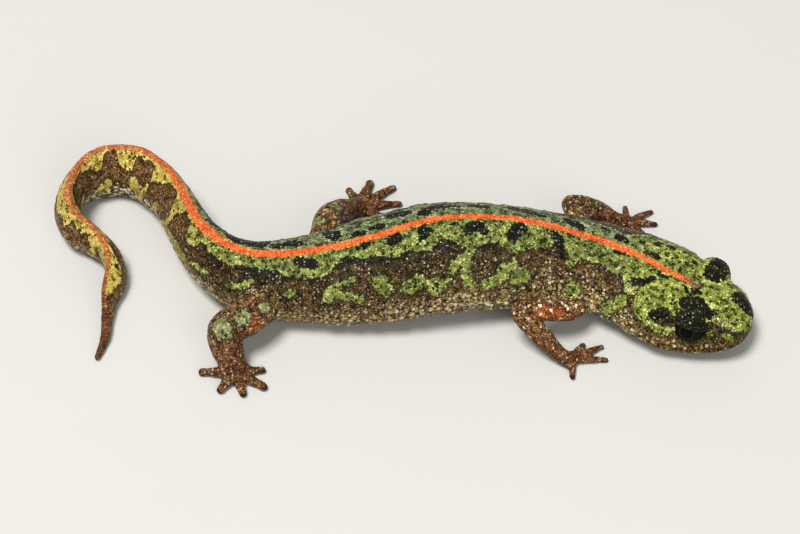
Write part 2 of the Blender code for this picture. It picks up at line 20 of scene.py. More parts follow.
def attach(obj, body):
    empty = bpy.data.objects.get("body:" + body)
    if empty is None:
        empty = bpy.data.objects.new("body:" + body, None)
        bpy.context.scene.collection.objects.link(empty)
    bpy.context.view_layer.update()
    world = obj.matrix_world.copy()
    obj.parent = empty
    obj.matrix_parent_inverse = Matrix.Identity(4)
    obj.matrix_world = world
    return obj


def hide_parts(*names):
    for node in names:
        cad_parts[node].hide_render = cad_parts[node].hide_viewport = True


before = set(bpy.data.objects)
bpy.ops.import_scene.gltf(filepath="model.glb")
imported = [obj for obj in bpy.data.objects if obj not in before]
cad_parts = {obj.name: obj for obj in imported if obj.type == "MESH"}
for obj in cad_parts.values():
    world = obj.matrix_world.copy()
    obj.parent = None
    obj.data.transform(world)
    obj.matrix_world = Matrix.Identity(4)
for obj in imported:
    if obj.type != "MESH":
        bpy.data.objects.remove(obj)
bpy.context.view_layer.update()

log = logging.getLogger("newt")

MM = 0.001
MIDDLE = (-0.4, -4.36)  # middle of the outline seen from above, on the spine's own plan
UP = np.array((0.0, 0.0, 1.0))

Points = np.ndarray
Numbers = np.ndarray
Pair = tuple[float, float]
Triple = tuple[float, float, float]
Colour = tuple[float, float, float]

# The spine's path over the floor, from the snout to the tip of the tail
SPINE_PATH = (
    (47.8, -13.9), (45.2, -13.3), (41.3, -12.0), (37.0, -9.9), (32.7, -7.3), (27.7, -5.1),
    (22.3, -4.3), (16.5, -4.1), (10.4, -4.15), (4.2, -4.7), (-1.8, -5.9), (-7.8, -6.9),
    (-13.6, -7.5), (-18.4, -7.4), (-22.2, -6.2), (-25.3, -3.9), (-28.0, -0.7), (-30.0, 3.1),
    (-32.0, 6.8), (-34.3, 9.9), (-37.5, 12.5), (-41.6, 13.1), (-45.5, 11.1), (-47.1, 6.8),
    (-45.7, 2.9), (-42.9, 0.9), (-40.3, -1.6), (-39.4, -4.8), (-40.1, -8.2), (-40.3, -11.3),
    (-40.3, -14.2), (-41.2, -17.7),
)

# Sizes of the body's cross-sections: distance from the snout, then half the width,
# height of the back, of the belly and of the widest level, how pinched the section
# is above and below that level (1 is an ellipse), and its lean to the left in degrees
SECTION_SIZES = ("half_width", "back", "belly", "widest", "pinch_up", "pinch_down", "lean")
BODY_SECTIONS = (
    (0.0, 1.2, 4.9, 3.2, 4.0, 0.9, 0.9, 0),
    (0.5, 2.7, 5.7, 2.4, 3.8, 0.9, 0.9, 0),
    (1.4, 4.0, 6.5, 1.6, 3.6, 0.9, 0.9, 0),
    (3.0, 5.1, 7.4, 0.9, 3.4, 0.9, 0.9, 0),
    (5.2, 6.0, 8.1, 0.3, 3.2, 0.9, 0.85, 0),
    (8.0, 6.95, 8.7, -0.2, 3.2, 0.72, 0.85, 0),
    (11.0, 7.6, 9.25, -0.3, 3.4, 0.62, 0.85, 0),
    (14.0, 7.7, 9.5, -0.3, 3.9, 0.68, 0.85, 0),
    (17.0, 7.55, 9.6, -0.2, 4.3, 0.8, 0.9, 1),
    (20.0, 7.3, 9.7, 0.1, 4.5, 0.93, 0.9, 2),
    (24.0, 7.25, 10.2, 0.0, 4.7, 0.95, 0.9, 4),
    (29.0, 7.35, 11.4, -0.2, 5.1, 0.95, 0.9, 8),
    (36.0, 7.9, 12.7, -0.4, 5.7, 0.95, 0.9, 12),
    (44.0, 8.5, 13.2, -0.6, 5.9, 0.95, 0.88, 10),
    (52.0, 8.15, 12.7, -0.6, 5.8, 0.95, 0.88, 4),
    (59.0, 7.15, 11.7, -0.4, 5.4, 0.97, 0.9, 0),
    (65.0, 5.95, 10.9, -0.2, 4.9, 1.0, 0.95, 0),
    (70.0, 5.3, 10.5, 0.0, 4.7, 1.05, 1.0, 0),
    (75.0, 4.3, 10.2, 0.1, 4.5, 1.15, 1.1, 0),
    (80.0, 3.5, 10.0, 0.1, 4.4, 1.3, 1.25, 2),
    (87.0, 2.8, 9.9, 0.0, 4.5, 1.5, 1.5, 6),
    (95.0, 2.4, 9.7, -0.1, 4.5, 1.7, 1.7, 12),
    (103.0, 2.05, 9.2, -0.1, 4.3, 1.8, 1.8, 10),
    (110.0, 1.9, 8.6, -0.1, 4.0, 1.75, 1.7, -8),
    (117.0, 1.7, 7.9, -0.1, 3.5, 1.75, 1.6, -3),
    (123.0, 1.45, 6.6, -0.1, 2.8, 1.7, 1.5, 10),
    (127.0, 1.2, 5.5, -0.1, 2.4, 1.6, 1.5, 19),
    (130.0, 0.95, 4.2, -0.1, 1.9, 1.5, 1.5, 19),
    (132.5, 0.75, 2.7, -0.1, 1.3, 1.2, 1.2, 13),
    (136.0, 0.6, 1.75, -0.1, 0.85, 1.05, 1.05, 4),
    (140.0, 0.3, 1.0, 0.1, 0.55, 1.0, 1.0, 0),
)


class Side(Enum):
    """The newt's own left and right."""

    LEFT = 1
    RIGHT = -1


def smooth_step(low: float, high: float, x: Numbers) -> Numbers:
    """An even rise from 0 at low to 1 at high; low may be the larger."""
    t = np.clip((np.asarray(x, float) - low) / (high - low), 0.0, 1.0)
    return t * t * (3 - 2 * t)


def bell(x: Numbers, width: float) -> Numbers:
    """A bump of height 1 at x = 0 that has faded at a distance of about twice the width."""
    return np.exp(-((np.asarray(x, float) / width) ** 2))


def even_curve(xs: Numbers, ys: Numbers, x: Numbers) -> Numbers:
    """A smooth line through points that never overshoots them.

    Args:
        xs: Where the points are, in rising order.
        ys: How high each is.
        x: Where the line is wanted.

    Returns:
        The height of the line at each x.
    """
    xs, ys, x = (np.asarray(a, float) for a in (xs, ys, x))
    step = np.diff(xs)
    slope = np.diff(ys) / step
    tangent = np.zeros(len(xs))
    before, after = slope[:-1], slope[1:]
    first, second = 2 * step[1:] + step[:-1], step[1:] + 2 * step[:-1]
    same = before * after > 0
    safe = np.where(same, before, 1.0), np.where(same, after, 1.0)
    tangent[1:-1] = np.where(same, (first + second) / (first / safe[0] + second / safe[1]), 0.0)
    tangent[0], tangent[-1] = slope[0], slope[-1]
    i = np.clip(np.searchsorted(xs, x) - 1, 0, len(xs) - 2)
    t = (np.clip(x, xs[0], xs[-1]) - xs[i]) / step[i]
    return (
        ys[i] * (1 + 2 * t) * (1 - t) ** 2
        + tangent[i] * step[i] * t * (1 - t) ** 2
        + ys[i + 1] * t**2 * (3 - 2 * t)
        + tangent[i + 1] * step[i] * t**2 * (t - 1)
    )


def on_plan(x: float, y: float, z: float = 0.0) -> Points:
    """A place on the spine's own plan, moved into the model's frame."""
    return np.array((x - MIDDLE[0], y - MIDDLE[1], z))


def scatter(cell: np.ndarray, salt: int) -> Numbers:
    """A number from 0 to 1 for each whole-numbered cell, the same on every run.

    Args:
        cell: Cell numbers along x, y and z, in the last axis.
        salt: Any whole number; another one gives other draws.

    Returns:
        One number for each cell.
    """
    c = cell.astype(np.int64) & 0xFFFFFFFF
    h = (c[..., 0] * 73856093) ^ (c[..., 1] * 19349663) ^ (c[..., 2] * 83492791)
    h = (h ^ (salt * 2654435761)) & 0xFFFFFFFF
    for shift, factor in ((16, 73244475), (15, 668265263), (16, 374761393)):
        h = ((h ^ (h >> shift)) * factor) & 0xFFFFFFFF
    return h / 0xFFFFFFFF


def even_noise(points: Points, size: float, salt: int) -> Numbers:
    """Soft lumps in space.

    Args:
        points: Places in millimetres.
        size: How far apart the lumps are.
        salt: Any whole number; another one gives other lumps.

    Returns:
        A number from -1 to 1 for each point.
    """
    place = points / size
    base = np.floor(place).astype(np.int64)
    t = place - base
    t = t * t * (3 - 2 * t)
    total = np.zeros(len(points))
    for corner in np.ndindex(2, 2, 2):
        step = np.array(corner)
        weight = np.prod(np.where(step, t, 1 - t), axis=1)
        total += weight * scatter(base + step, salt)
    return 2 * total - 1


@dataclass(frozen=True)
class Grains:
    """Round grains scattered through space, one in each cube of this size."""

    size: float
    salt: int

    def nearest(self, points: Points) -> tuple[Numbers, Numbers]:
        """Finds each point's nearest grain.

        Args:
            points: Places in millimetres.

        Returns:
            The distance to the middle of the nearest grain, and that grain's own number
            from 0 to 1.
        """
        base = np.floor(points / self.size).astype(np.int64)
        best = np.full(len(points), np.inf)
        number = np.zeros(len(points))
        for offset in np.ndindex(3, 3, 3):
            cell = base + np.array(offset) - 1
            draws = [scatter(cell, self.salt + k) for k in range(3)]
            middle = (cell + np.stack(draws, axis=-1)) * self.size
            gap = np.linalg.norm(points - middle, axis=1)
            nearer = gap < best
            best = np.where(nearer, gap, best)
            number = np.where(nearer, scatter(cell, self.salt + 3), number)
        return best, number


class Path:
    """A smooth curve through points, measured along its own length."""

    SPAN_STEPS = 24

    def __init__(self, points: Points) -> None:
        """Draws the curve.

        Args:
            points: The places it passes through, in order.
        """
        given = np.asarray(points, float)
        ends = np.vstack([2 * given[0] - given[1], given, 2 * given[-1] - given[-2]])
        t = (np.arange(self.SPAN_STEPS) / self.SPAN_STEPS)[:, None]
        spans = []
        for before, start, end, after in zip(ends, ends[1:], ends[2:], ends[3:]):
            bend = 2 * before - 5 * start + 4 * end - after
            twist = 3 * start - before - 3 * end + after
            spans.append(0.5 * (2 * start + (end - before) * t + bend * t**2 + twist * t**3))
        self.points = np.vstack([*spans, given[-1:]])
        steps = np.linalg.norm(np.diff(self.points, axis=0), axis=1)
        self.distance = np.concatenate([[0.0], np.cumsum(steps)])
        self.length = float(self.distance[-1])

    def at(self, distance: Numbers) -> Points:
        """The points this far along the curve."""
        return np.stack([np.interp(distance, self.distance, c) for c in self.points.T], axis=-1)

    def heading(self, distance: Numbers, reach: float = 0.8) -> Points:
        """The directions of travel along the curve.

        Args:
            distance: How far along it they are wanted.
            reach: How far before and behind they are evened out.

        Returns:
            Arrows of length 1.
        """
        ahead = self.at(np.minimum(np.asarray(distance) + reach, self.length))
        way = ahead - self.at(np.maximum(np.asarray(distance) - reach, 0.0))
        return way / np.linalg.norm(way, axis=-1, keepdims=True)

    def nearest(self, point: Points) -> float:
        """How far along the curve its nearest point to this one is."""
        return float(self.distance[int(np.argmin(np.linalg.norm(self.points - point, axis=1)))])


@dataclass
class Shell:
    """A closed surface: its points, and the corners of each face."""

    points: Points
    faces: list[list[int]]


def loft(rings: Points) -> Shell:
    """A closed surface over rings of points, with a flat at each end.

    Args:
        rings: Points by ring and by place on the ring.

    Returns:
        The surface, its points in the order of the rings.
    """
    count, around = rings.shape[:2]
    here = np.arange(count * around).reshape(count, around)
    beside = np.roll(here, -1, axis=1)
    quads = np.stack([here[:-1], beside[:-1], beside[1:], here[1:]], axis=-1).reshape(-1, 4)
    ends = [here[0][::-1].tolist(), here[-1].tolist()]
    return Shell(rings.reshape(-1, 3), quads.tolist() + ends)


def ball(centre: Points, radius: float, around: int = 40, rows: int = 24) -> Shell:
    """A round ball.

    Args:
        centre: Its middle.
        radius: Its radius.
        around: How many points a ring has.
        rows: How many rings there are.

    Returns:
        The closed surface.
    """
    turns = np.arange(around) / around * 2 * math.pi
    turns, tilts = np.meshgrid(turns, np.linspace(0.02, math.pi - 0.02, rows))
    out = np.sin(tilts)
    rings = np.stack([out * np.cos(turns), out * np.sin(turns), -np.cos(tilts)], axis=-1)
    return loft(centre + radius * rings)


def joined(shells: list[Shell]) -> Shell:
    """Several surfaces as one list of points and faces.

    Args:
        shells: The surfaces.

    Returns:
        All of them, in the same order.
    """
    faces, base = [], 0
    for shell in shells:
        faces += [[base + i for i in face] for face in shell.faces]
        base += len(shell.points)
    return Shell(np.vstack([shell.points for shell in shells]), faces)


def add_object(name: str, data: bpy.types.ID) -> bpy.types.Object:
    """Puts a mesh, a light or a camera in the scene.

    Args:
        name: The new object's name.
        data: What it shows.

    Returns:
        The object.
    """
    thing = bpy.data.objects.new(name, data)
    bpy.context.scene.collection.objects.link(thing)
    return thing


def keep_number(mesh: bpy.types.Mesh, name: str, values: Numbers) -> None:
    """Stores a number for each point of a mesh, for its material."""
    layer = mesh.attributes.new(name, "FLOAT", "POINT")
    layer.data.foreach_set("value", values.ravel().astype(np.float32))


@dataclass
class Body:
    """Head, trunk and tail as one surface over a curved spine."""

    length: float = 140.0
    spine: tuple[Pair, ...] = SPINE_PATH
    sections: tuple[tuple[float, ...], ...] = BODY_SECTIONS
    snout_rings: tuple[float, ...] = (0.0, 0.06, 0.13, 0.22, 0.34, 0.5, 0.7, 0.95)
    even_from: float = 1.2
    ring_spacing: float = 0.3
    around: int = 160
    groove_count: int = 12
    grooves_from: float = 30.0
    grooves_to: float = 64.0
    groove_depth: float = 0.22

    def __post_init__(self) -> None:
        """Draws the spine and measures the surface over it."""
        self.path = Path([on_plan(x, y) for x, y in self.spine])
        steps = round((self.length - self.even_from) / self.ring_spacing)
        even = np.linspace(self.even_from, self.length, steps)
        self.along = np.concatenate([np.array(self.snout_rings), even])
        angles = np.linspace(-math.pi / 2, 1.5 * math.pi, self.around + 1)
        self.points = self.surface(self.along, angles)
        sides = np.linalg.norm(np.diff(self.points, axis=1), axis=2)
        travelled = np.concatenate([np.zeros((len(sides), 1)), np.cumsum(sides, axis=1)], axis=1)
        ridge = self.around // 2
        self.across = travelled - travelled[:, ridge : ridge + 1]
        self.half_girth = travelled[:, -1] / 2

    def size(self, name: str, along: Numbers) -> Numbers:
        """One named size of the cross-section at these distances from the snout."""
        table = np.array(self.sections, float)
        return even_curve(table[:, 0], table[:, 1 + SECTION_SIZES.index(name)], along)

    def directions(self, along: Numbers) -> tuple[Points, Points, Points]:
        """Which way the body lies at these distances from the snout.

        Args:
            along: The distances.

        Returns:
            The foot of the spine on the floor, the way forward, and the way left.
        """
        share = np.asarray(along) / self.length * self.path.length
        forward = -self.path.heading(share)
        return self.path.at(share), forward, np.cross(UP, forward)

    def place(self, along: float, left: float, height: float) -> Points:
        """A point this far to the left of the spine and above the floor."""
        foot, _, leftward = self.directions(along)
        return foot + leftward * left + UP * height

    def rib_turns(self, along: Numbers) -> Numbers:
        """How many rib grooves lie between the shoulder and here."""
        share = (np.asarray(along) - self.grooves_from) / (self.grooves_to - self.grooves_from)
        return np.clip(share, 0.0, 1.0) * self.groove_count

    def surface(self, along: Numbers, angle: Numbers) -> Points:
        """The surface at these distances from the snout, turned from left towards up.

        Args:
            along: Distances from the snout.
            angle: Turns about the spine in radians; a quarter turn is the ridge.

        Returns:
            Points by distance and by turn.
        """
        foot, _, left = self.directions(along)
        s = {name: self.size(name, along)[:, None] for name in SECTION_SIZES}
        across, rise = np.cos(angle)[None], np.sin(angle)[None]
        drawn_in = self.groove_depth * (0.5 - 0.5 * np.cos(2 * math.pi * self.rib_turns(along)))
        pinch = np.where(rise > 0, s["pinch_up"], s["pinch_down"])
        reach = np.where(rise > 0, s["back"], s["belly"]) - s["widest"]
        side = (s["half_width"] - drawn_in[:, None]) * np.sign(across) * np.abs(across) ** pinch
        height = np.abs(reach) * rise
        lean = np.radians(s["lean"])
        leftward = side * np.cos(lean) + height * np.sin(lean)
        upward = s["widest"] + height * np.cos(lean) - side * np.sin(lean)
        return foot[:, None] + left[:, None] * leftward[..., None] + UP * upward[..., None]

    def shell(self) -> Shell:
        """The closed surface of head, trunk and tail."""
        return loft(self.points[:, :-1])


@dataclass
class Limb:
    """A leg with its hand or foot: joints as (x, y, height) on the plan, and digit tips."""

    name: str
    side: Side
    along: float
    height: float
    joints: tuple[Triple, ...]
    radii: tuple[float, ...]
    digit_radius: float
    digits: tuple[Pair, ...]
    root_depth: float = 0.35
    palm_reach: float = 0.42
    palm_spread: float = 1.25
    palm_flatten: float = 0.62
    palm_height: float = 0.75
    digit_root: float = 0.3
    root_height: float = 0.8
    knuckle_rise: float = 0.3
    pad_swell: float = 0.07
    digit_flatten: float = 0.95
    digit_rings: int = 18
    end_rings: tuple[float, ...] = (0.35, 0.22, 0.12, 0.05, 0.0)
    rounding: float = 0.5
    tip_share: float = 0.6
    tip_height: float = 0.9
    evening: float = 2.3
    ring: int = 36
    ring_spacing: float = 0.3

    def __post_init__(self) -> None:
        """Works out where the digits end and the wrist is."""
        height = self.digit_radius * self.tip_share * self.tip_height
        self.tips = [on_plan(x, y, height) for x, y in self.digits]
        self.wrist = on_plan(*self.joints[-1])

    def middle_line(self, body: Body) -> Path:
        """The line through the joints, from inside the body to the palm's end.

        Args:
            body: What the limb grows from.

        Returns:
            The line.
        """
        sunk = self.root_depth * self.side.value * float(body.size("half_width", self.along))
        root = body.place(self.along, sunk, self.height)
        palm_end = self.wrist + self.palm_reach * (sum(self.tips) / len(self.tips) - self.wrist)
        palm_end[2] = self.palm_height
        return Path([root, *(on_plan(*joint) for joint in self.joints), palm_end])

    def tube(self, line: Path, distance: Numbers, radius: Numbers, flatten: Numbers) -> Shell:
        """A tube along a line.

        Args:
            line: The middle of the tube.
            distance: How far along the line each ring stands.
            radius: Half the width of each ring.
            flatten: Height of each ring, of its width.

        Returns:
            The closed tube.
        """
        middle = line.at(distance)
        forward = line.heading(distance, min(self.evening, line.length / 4))
        side = np.cross(UP, forward)
        side = side / np.linalg.norm(side, axis=1, keepdims=True)
        over = np.cross(forward, side)
        turn = np.arange(self.ring) / self.ring * 2 * math.pi
        width = (side * radius[:, None])[:, None] * np.cos(turn)[None, :, None]
        height = (over * (radius * flatten)[:, None])[:, None] * np.sin(turn)[None, :, None]
        return loft(middle[:, None] + width + height)

    def leg(self, body: Body) -> Shell:
        """The limb from its root to the end of the palm.

        Args:
            body: What it grows from.

        Returns:
            The closed surface.
        """
        line = self.middle_line(body)
        marks = [0.0, *(line.nearest(on_plan(*joint)) for joint in self.joints)]
        wrist = marks[-1]
        half_palm = (wrist + line.length) / 2
        stops = [*marks, half_palm, line.length]
        sizes = [*self.radii, self.radii[-1] * self.palm_spread, self.radii[-1]]
        distance = np.linspace(0.0, line.length, round(line.length / self.ring_spacing))
        flat_stops = (0.0, wrist, half_palm, line.length)
        flatten = even_curve(flat_stops, (1.0, 1.0, self.palm_flatten, self.palm_flatten), distance)
        return self.tube(line, distance, even_curve(stops, sizes, distance), flatten)

    def digit(self, root: Points, tip: Points) -> Shell:
        """One finger or toe, with a soft pad at each bend and a rounded end.

        Args:
            root: Where it starts, inside the palm.
            tip: Where it ends.

        Returns:
            The closed surface.
        """
        line = Path([root, (root + tip) / 2 + UP * self.knuckle_rise, tip])
        shaft = np.linspace(0.0, line.length - self.rounding, self.digit_rings)
        distance = np.concatenate([shaft, line.length - np.array(self.end_rings)])
        share = distance / line.length
        pads = 1 + self.pad_swell * np.cos(share * 4 * math.pi)
        past = np.clip(1 - (line.length - distance) / self.rounding, 0, 1)
        end = np.sqrt(np.clip(1 - past**2, 0.03, 1))
        radius = self.digit_radius * (1 - (1 - self.tip_share) * share) * pads * end
        return self.tube(line, distance, radius, np.full(len(share), self.digit_flatten))

    def shells(self, body: Body) -> list[Shell]:
        """The limb and each of its digits.

        Args:
            body: What the limb grows from.

        Returns:
            The closed surface of each.
        """
        line = self.middle_line(body)
        wrist = line.nearest(self.wrist)
        root = line.at(wrist + (line.length - wrist) * self.digit_root + self.digit_radius)
        root[2] = self.root_height * self.digit_radius
        return [self.leg(body), *(self.digit(root, tip) for tip in self.tips)]


LIMBS = (
    Limb(
        name="right fore",
        side=Side.RIGHT,
        along=24.8,
        height=4.5,
        joints=((23.4, -12.5, 5.0), (16.5, -13.7, 6.2), (18.8, -15.8, 3.9), (22.2, -18.0, 1.35)),
        radii=(1.75, 1.55, 1.4, 1.35, 1.05),
        digit_radius=0.62,
        digits=((25.2, -14.9), (27.9, -15.3), (28.4, -17.7), (23.3, -21.1)),
    ),
    Limb(
        name="left fore",
        side=Side.LEFT,
        along=26.0,
        height=4.8,
        joints=((24.8, 3.3, 5.8), (24.3, 5.6, 5.9), (27.5, 6.4, 3.9), (31.2, 6.5, 1.35)),
        radii=(1.75, 1.6, 1.5, 1.45, 1.1),
        digit_radius=0.62,
        digits=((34.9, 4.6), (36.9, 6.7), (36.4, 9.2), (32.4, 10.2)),
    ),
    Limb(
        name="right hind",
        side=Side.RIGHT,
        along=68.0,
        height=4.6,
        joints=((-20.4, -14.1, 5.4), (-23.5, -16.4, 5.3), (-23.3, -17.9, 3.6), (-22.6, -19.4, 1.6)),
        radii=(2.6, 2.6, 2.35, 2.25, 1.8),
        digit_radius=0.8,
        digits=((-18.1, -19.5), (-17.9, -22.6), (-20.9, -24.0), (-24.4, -23.4), (-27.2, -19.9)),
    ),
    Limb(
        name="left hind",
        side=Side.LEFT,
        along=64.5,
        height=4.6,
        joints=((-10.6, -0.3, 5.3), (-10.0, 3.6, 5.2), (-8.4, 6.4, 3.4), (-6.9, 8.8, 1.5)),
        radii=(2.2, 2.15, 1.95, 1.8, 1.4),
        digit_radius=0.78,
        digits=((-2.2, 7.6), (0.4, 10.6), (-0.6, 13.9), (-4.2, 14.9), (-7.6, 13.4)),
    ),
)


class Flesh:
    """A mesh being modelled: its points as numbers, over one Blender mesh."""

    DRAW_IN = 0.55
    LET_OUT = -0.57
    STEADY = 0.05

    def __init__(self, mesh: bpy.types.Mesh) -> None:
        """Takes over a mesh.

        Args:
            mesh: The mesh, in millimetres.
        """
        self.mesh = mesh
        self.points = self.read(mesh.vertices, "co", 3)
        self.edges = self.read(mesh.edges, "vertices", 2, np.int32)

    @staticmethod
    def read(
        items: bpy.types.bpy_prop_collection, name: str, width: int, kind: type = np.float32
    ) -> np.ndarray:
        """One property of every item of a mesh.

        Args:
            items: The mesh's points, edges or normals.
            name: The property's name.
            width: How many numbers it holds.
            kind: The type of those numbers.

        Returns:
            Rows of numbers, one for each item.
        """
        values = np.zeros(len(items) * width, kind)
        items.foreach_get(name, values)
        return values.reshape(-1, width).astype(float if kind is np.float32 else kind)

    def put_back(self, scale: float = 1.0) -> None:
        """Writes the points to the mesh."""
        self.mesh.vertices.foreach_set("co", (self.points * scale).astype(np.float32).ravel())
        self.mesh.update()

    def normals(self) -> Points:
        """The way out of the surface at each point."""
        self.put_back()
        return self.read(self.mesh.vertex_normals, "vector", 3)

    def mean_of_neighbours(self, values: np.ndarray) -> np.ndarray:
        """Evens out values over the mesh.

        Args:
            values: A number or a row of numbers for each point.

        Returns:
            Each point's mean over the points that an edge joins it to.
        """
        count = len(self.points)
        first, second = self.edges.T
        degree = np.bincount(self.edges.ravel(), minlength=count).clip(1)
        columns = values.reshape(count, -1)
        sums = [
            np.bincount(first, c[second], count) + np.bincount(second, c[first], count)
            for c in columns.T
        ]
        return (np.stack(sums, axis=-1) / degree[:, None]).reshape(values.shape)

    def soften(self, weight: Numbers, rounds: int) -> None:
        """Moves points towards their neighbours, by a weight from 0 to 1 each round."""
        for _ in range(rounds):
            self.points += weight[:, None] * (self.mean_of_neighbours(self.points) - self.points)

    def polish(self, rounds: int) -> None:
        """Takes out the steps left by fusing, and keeps the volume.

        Args:
            rounds: How often the points are drawn in and let out again.
        """
        whole = np.ones(len(self.points))
        for _ in range(rounds):
            self.soften(self.DRAW_IN * whole, 1)
            self.soften(self.LET_OUT * whole, 1)

    def slope(self, values: Numbers) -> Points:
        """How fast a value on the surface grows.

        Args:
            values: The value at each point.

        Returns:
            At each point, the way in which it grows, as long as it grows in a millimetre.
        """
        first, second = self.edges.T
        way = self.points[second] - self.points[first]
        weight = 1 / (way**2).sum(axis=1).clip(1e-9)
        rise = (values[second] - values[first]) * weight
        count = len(self.points)
        square = np.zeros((count, 3, 3))
        side = np.zeros((count, 3))
        for i in range(3):
            side[:, i] = sum(np.bincount(e, way[:, i] * rise, count) for e in (first, second))
            for j in range(3):
                product = way[:, i] * way[:, j] * weight
                square[:, i, j] = sum(np.bincount(e, product, count) for e in (first, second))
        square += np.eye(3) * self.STEADY
        return np.linalg.solve(square, side[..., None])[..., 0]


def fuse(shells: list[Shell], grain: float) -> bpy.types.Mesh:
    """Joins closed surfaces into one skin of even faces.

    Args:
        shells: Surfaces that overlap where they grow from each other.
        grain: Size of a face of the skin.

    Returns:
        The mesh of the skin, in millimetres.
    """
    whole = joined(shells)
    mesh = bpy.data.meshes.new("rough skin")
    mesh.from_pydata(whole.points.tolist(), [], whole.faces)
    rough = add_object("rough skin", mesh)
    modifier = rough.modifiers.new("fuse", "REMESH")
    modifier.mode = "VOXEL"
    modifier.voxel_size = grain
    bpy.context.view_layer.update()
    graph = bpy.context.evaluated_depsgraph_get()
    fused = bpy.data.meshes.new_from_object(rough.evaluated_get(graph))
    bpy.data.objects.remove(rough)
    bpy.data.meshes.remove(mesh)
    return fused


@dataclass
class Place:
    """Where each point of the skin is on the animal."""

    along: Numbers
    across: Numbers
    girth: Numbers
    limb: Numbers
    digit: Numbers
    tip: Numbers
    off_body: Numbers
    off_limb: Numbers


class Chart:
    """Finds the place on the body of any point near it."""

    def __init__(self, body: Body, limbs: tuple[Limb, ...]) -> None:
        """Prepares the search.

        Args:
            body: Head, trunk and tail.
            limbs: The four legs.
        """
        self.body, self.limbs = body, limbs
        rows, columns = body.points.shape[:2]
        here = np.arange(rows * columns).reshape(rows, columns)
        quads = np.stack([here[:-1, :-1], here[:-1, 1:], here[1:, 1:], here[1:, :-1]], axis=-1)
        quads = quads.reshape(-1, 4).tolist()
        self.columns = columns - 1
        self.tree = BVHTree.FromPolygons(body.points.reshape(-1, 3).tolist(), quads)
        legs = joined([shell for limb in limbs for shell in limb.shells(body)])
        self.leg_tree = BVHTree.FromPolygons(legs.points.tolist(), legs.faces)

    def read(self, points: Points) -> Place:
        """The place of every point.

        Args:
            points: Points on or near the skin.

        Returns:
            Their places.
        """
        hits = [self.tree.find_nearest(Vector(p)) for p in points]
        near, face, off_body = (np.array([hit[i] for hit in hits]) for i in (0, 2, 3))
        off_limb = np.array([self.leg_tree.find_nearest(Vector(p))[3] for p in points])
        row, column = face // self.columns, face % self.columns
        grid = self.body.points
        corner, beside, behind = grid[row, column], grid[row, column + 1], grid[row + 1, column]
        u = self.share(near - corner, behind - corner)
        v = self.share(near - corner, beside - corner)
        table = self.body.along
        along = table[row] + u * (table[row + 1] - table[row])
        arcs = self.body.across
        across = arcs[row, column] + v * (arcs[row, column + 1] - arcs[row, column])
        half = np.interp(along, table, self.body.half_girth)
        limb = smooth_step(-0.5, 0.7, off_body - off_limb)
        wrist_gap = tip_gap = np.full(len(points), np.inf)
        for leg in self.limbs:
            hand = leg.wrist + 0.25 * (sum(leg.tips) / len(leg.tips) - leg.wrist)
            size = np.linalg.norm(leg.tips[1] - leg.wrist)
            wrist_gap = np.minimum(wrist_gap, np.linalg.norm(points - hand, axis=1) / size)
            for tip in leg.tips:
                tip_gap = np.minimum(tip_gap, np.linalg.norm(points - tip, axis=1))
        return Place(
            along=along,
            across=across,
            girth=np.abs(across) / half,
            limb=limb,
            digit=limb * smooth_step(1.1, 0.7, wrist_gap),
            tip=limb * smooth_step(0.85, 0.35, tip_gap),
            off_body=off_body,
            off_limb=off_limb,
        )

    @staticmethod
    def share(way: Points, side: Points) -> Numbers:
        """How far along a side of a face a point lies, from 0 to 1."""
        return np.clip((way * side).sum(axis=1) / (side**2).sum(axis=1).clip(1e-9), 0.0, 1.0)


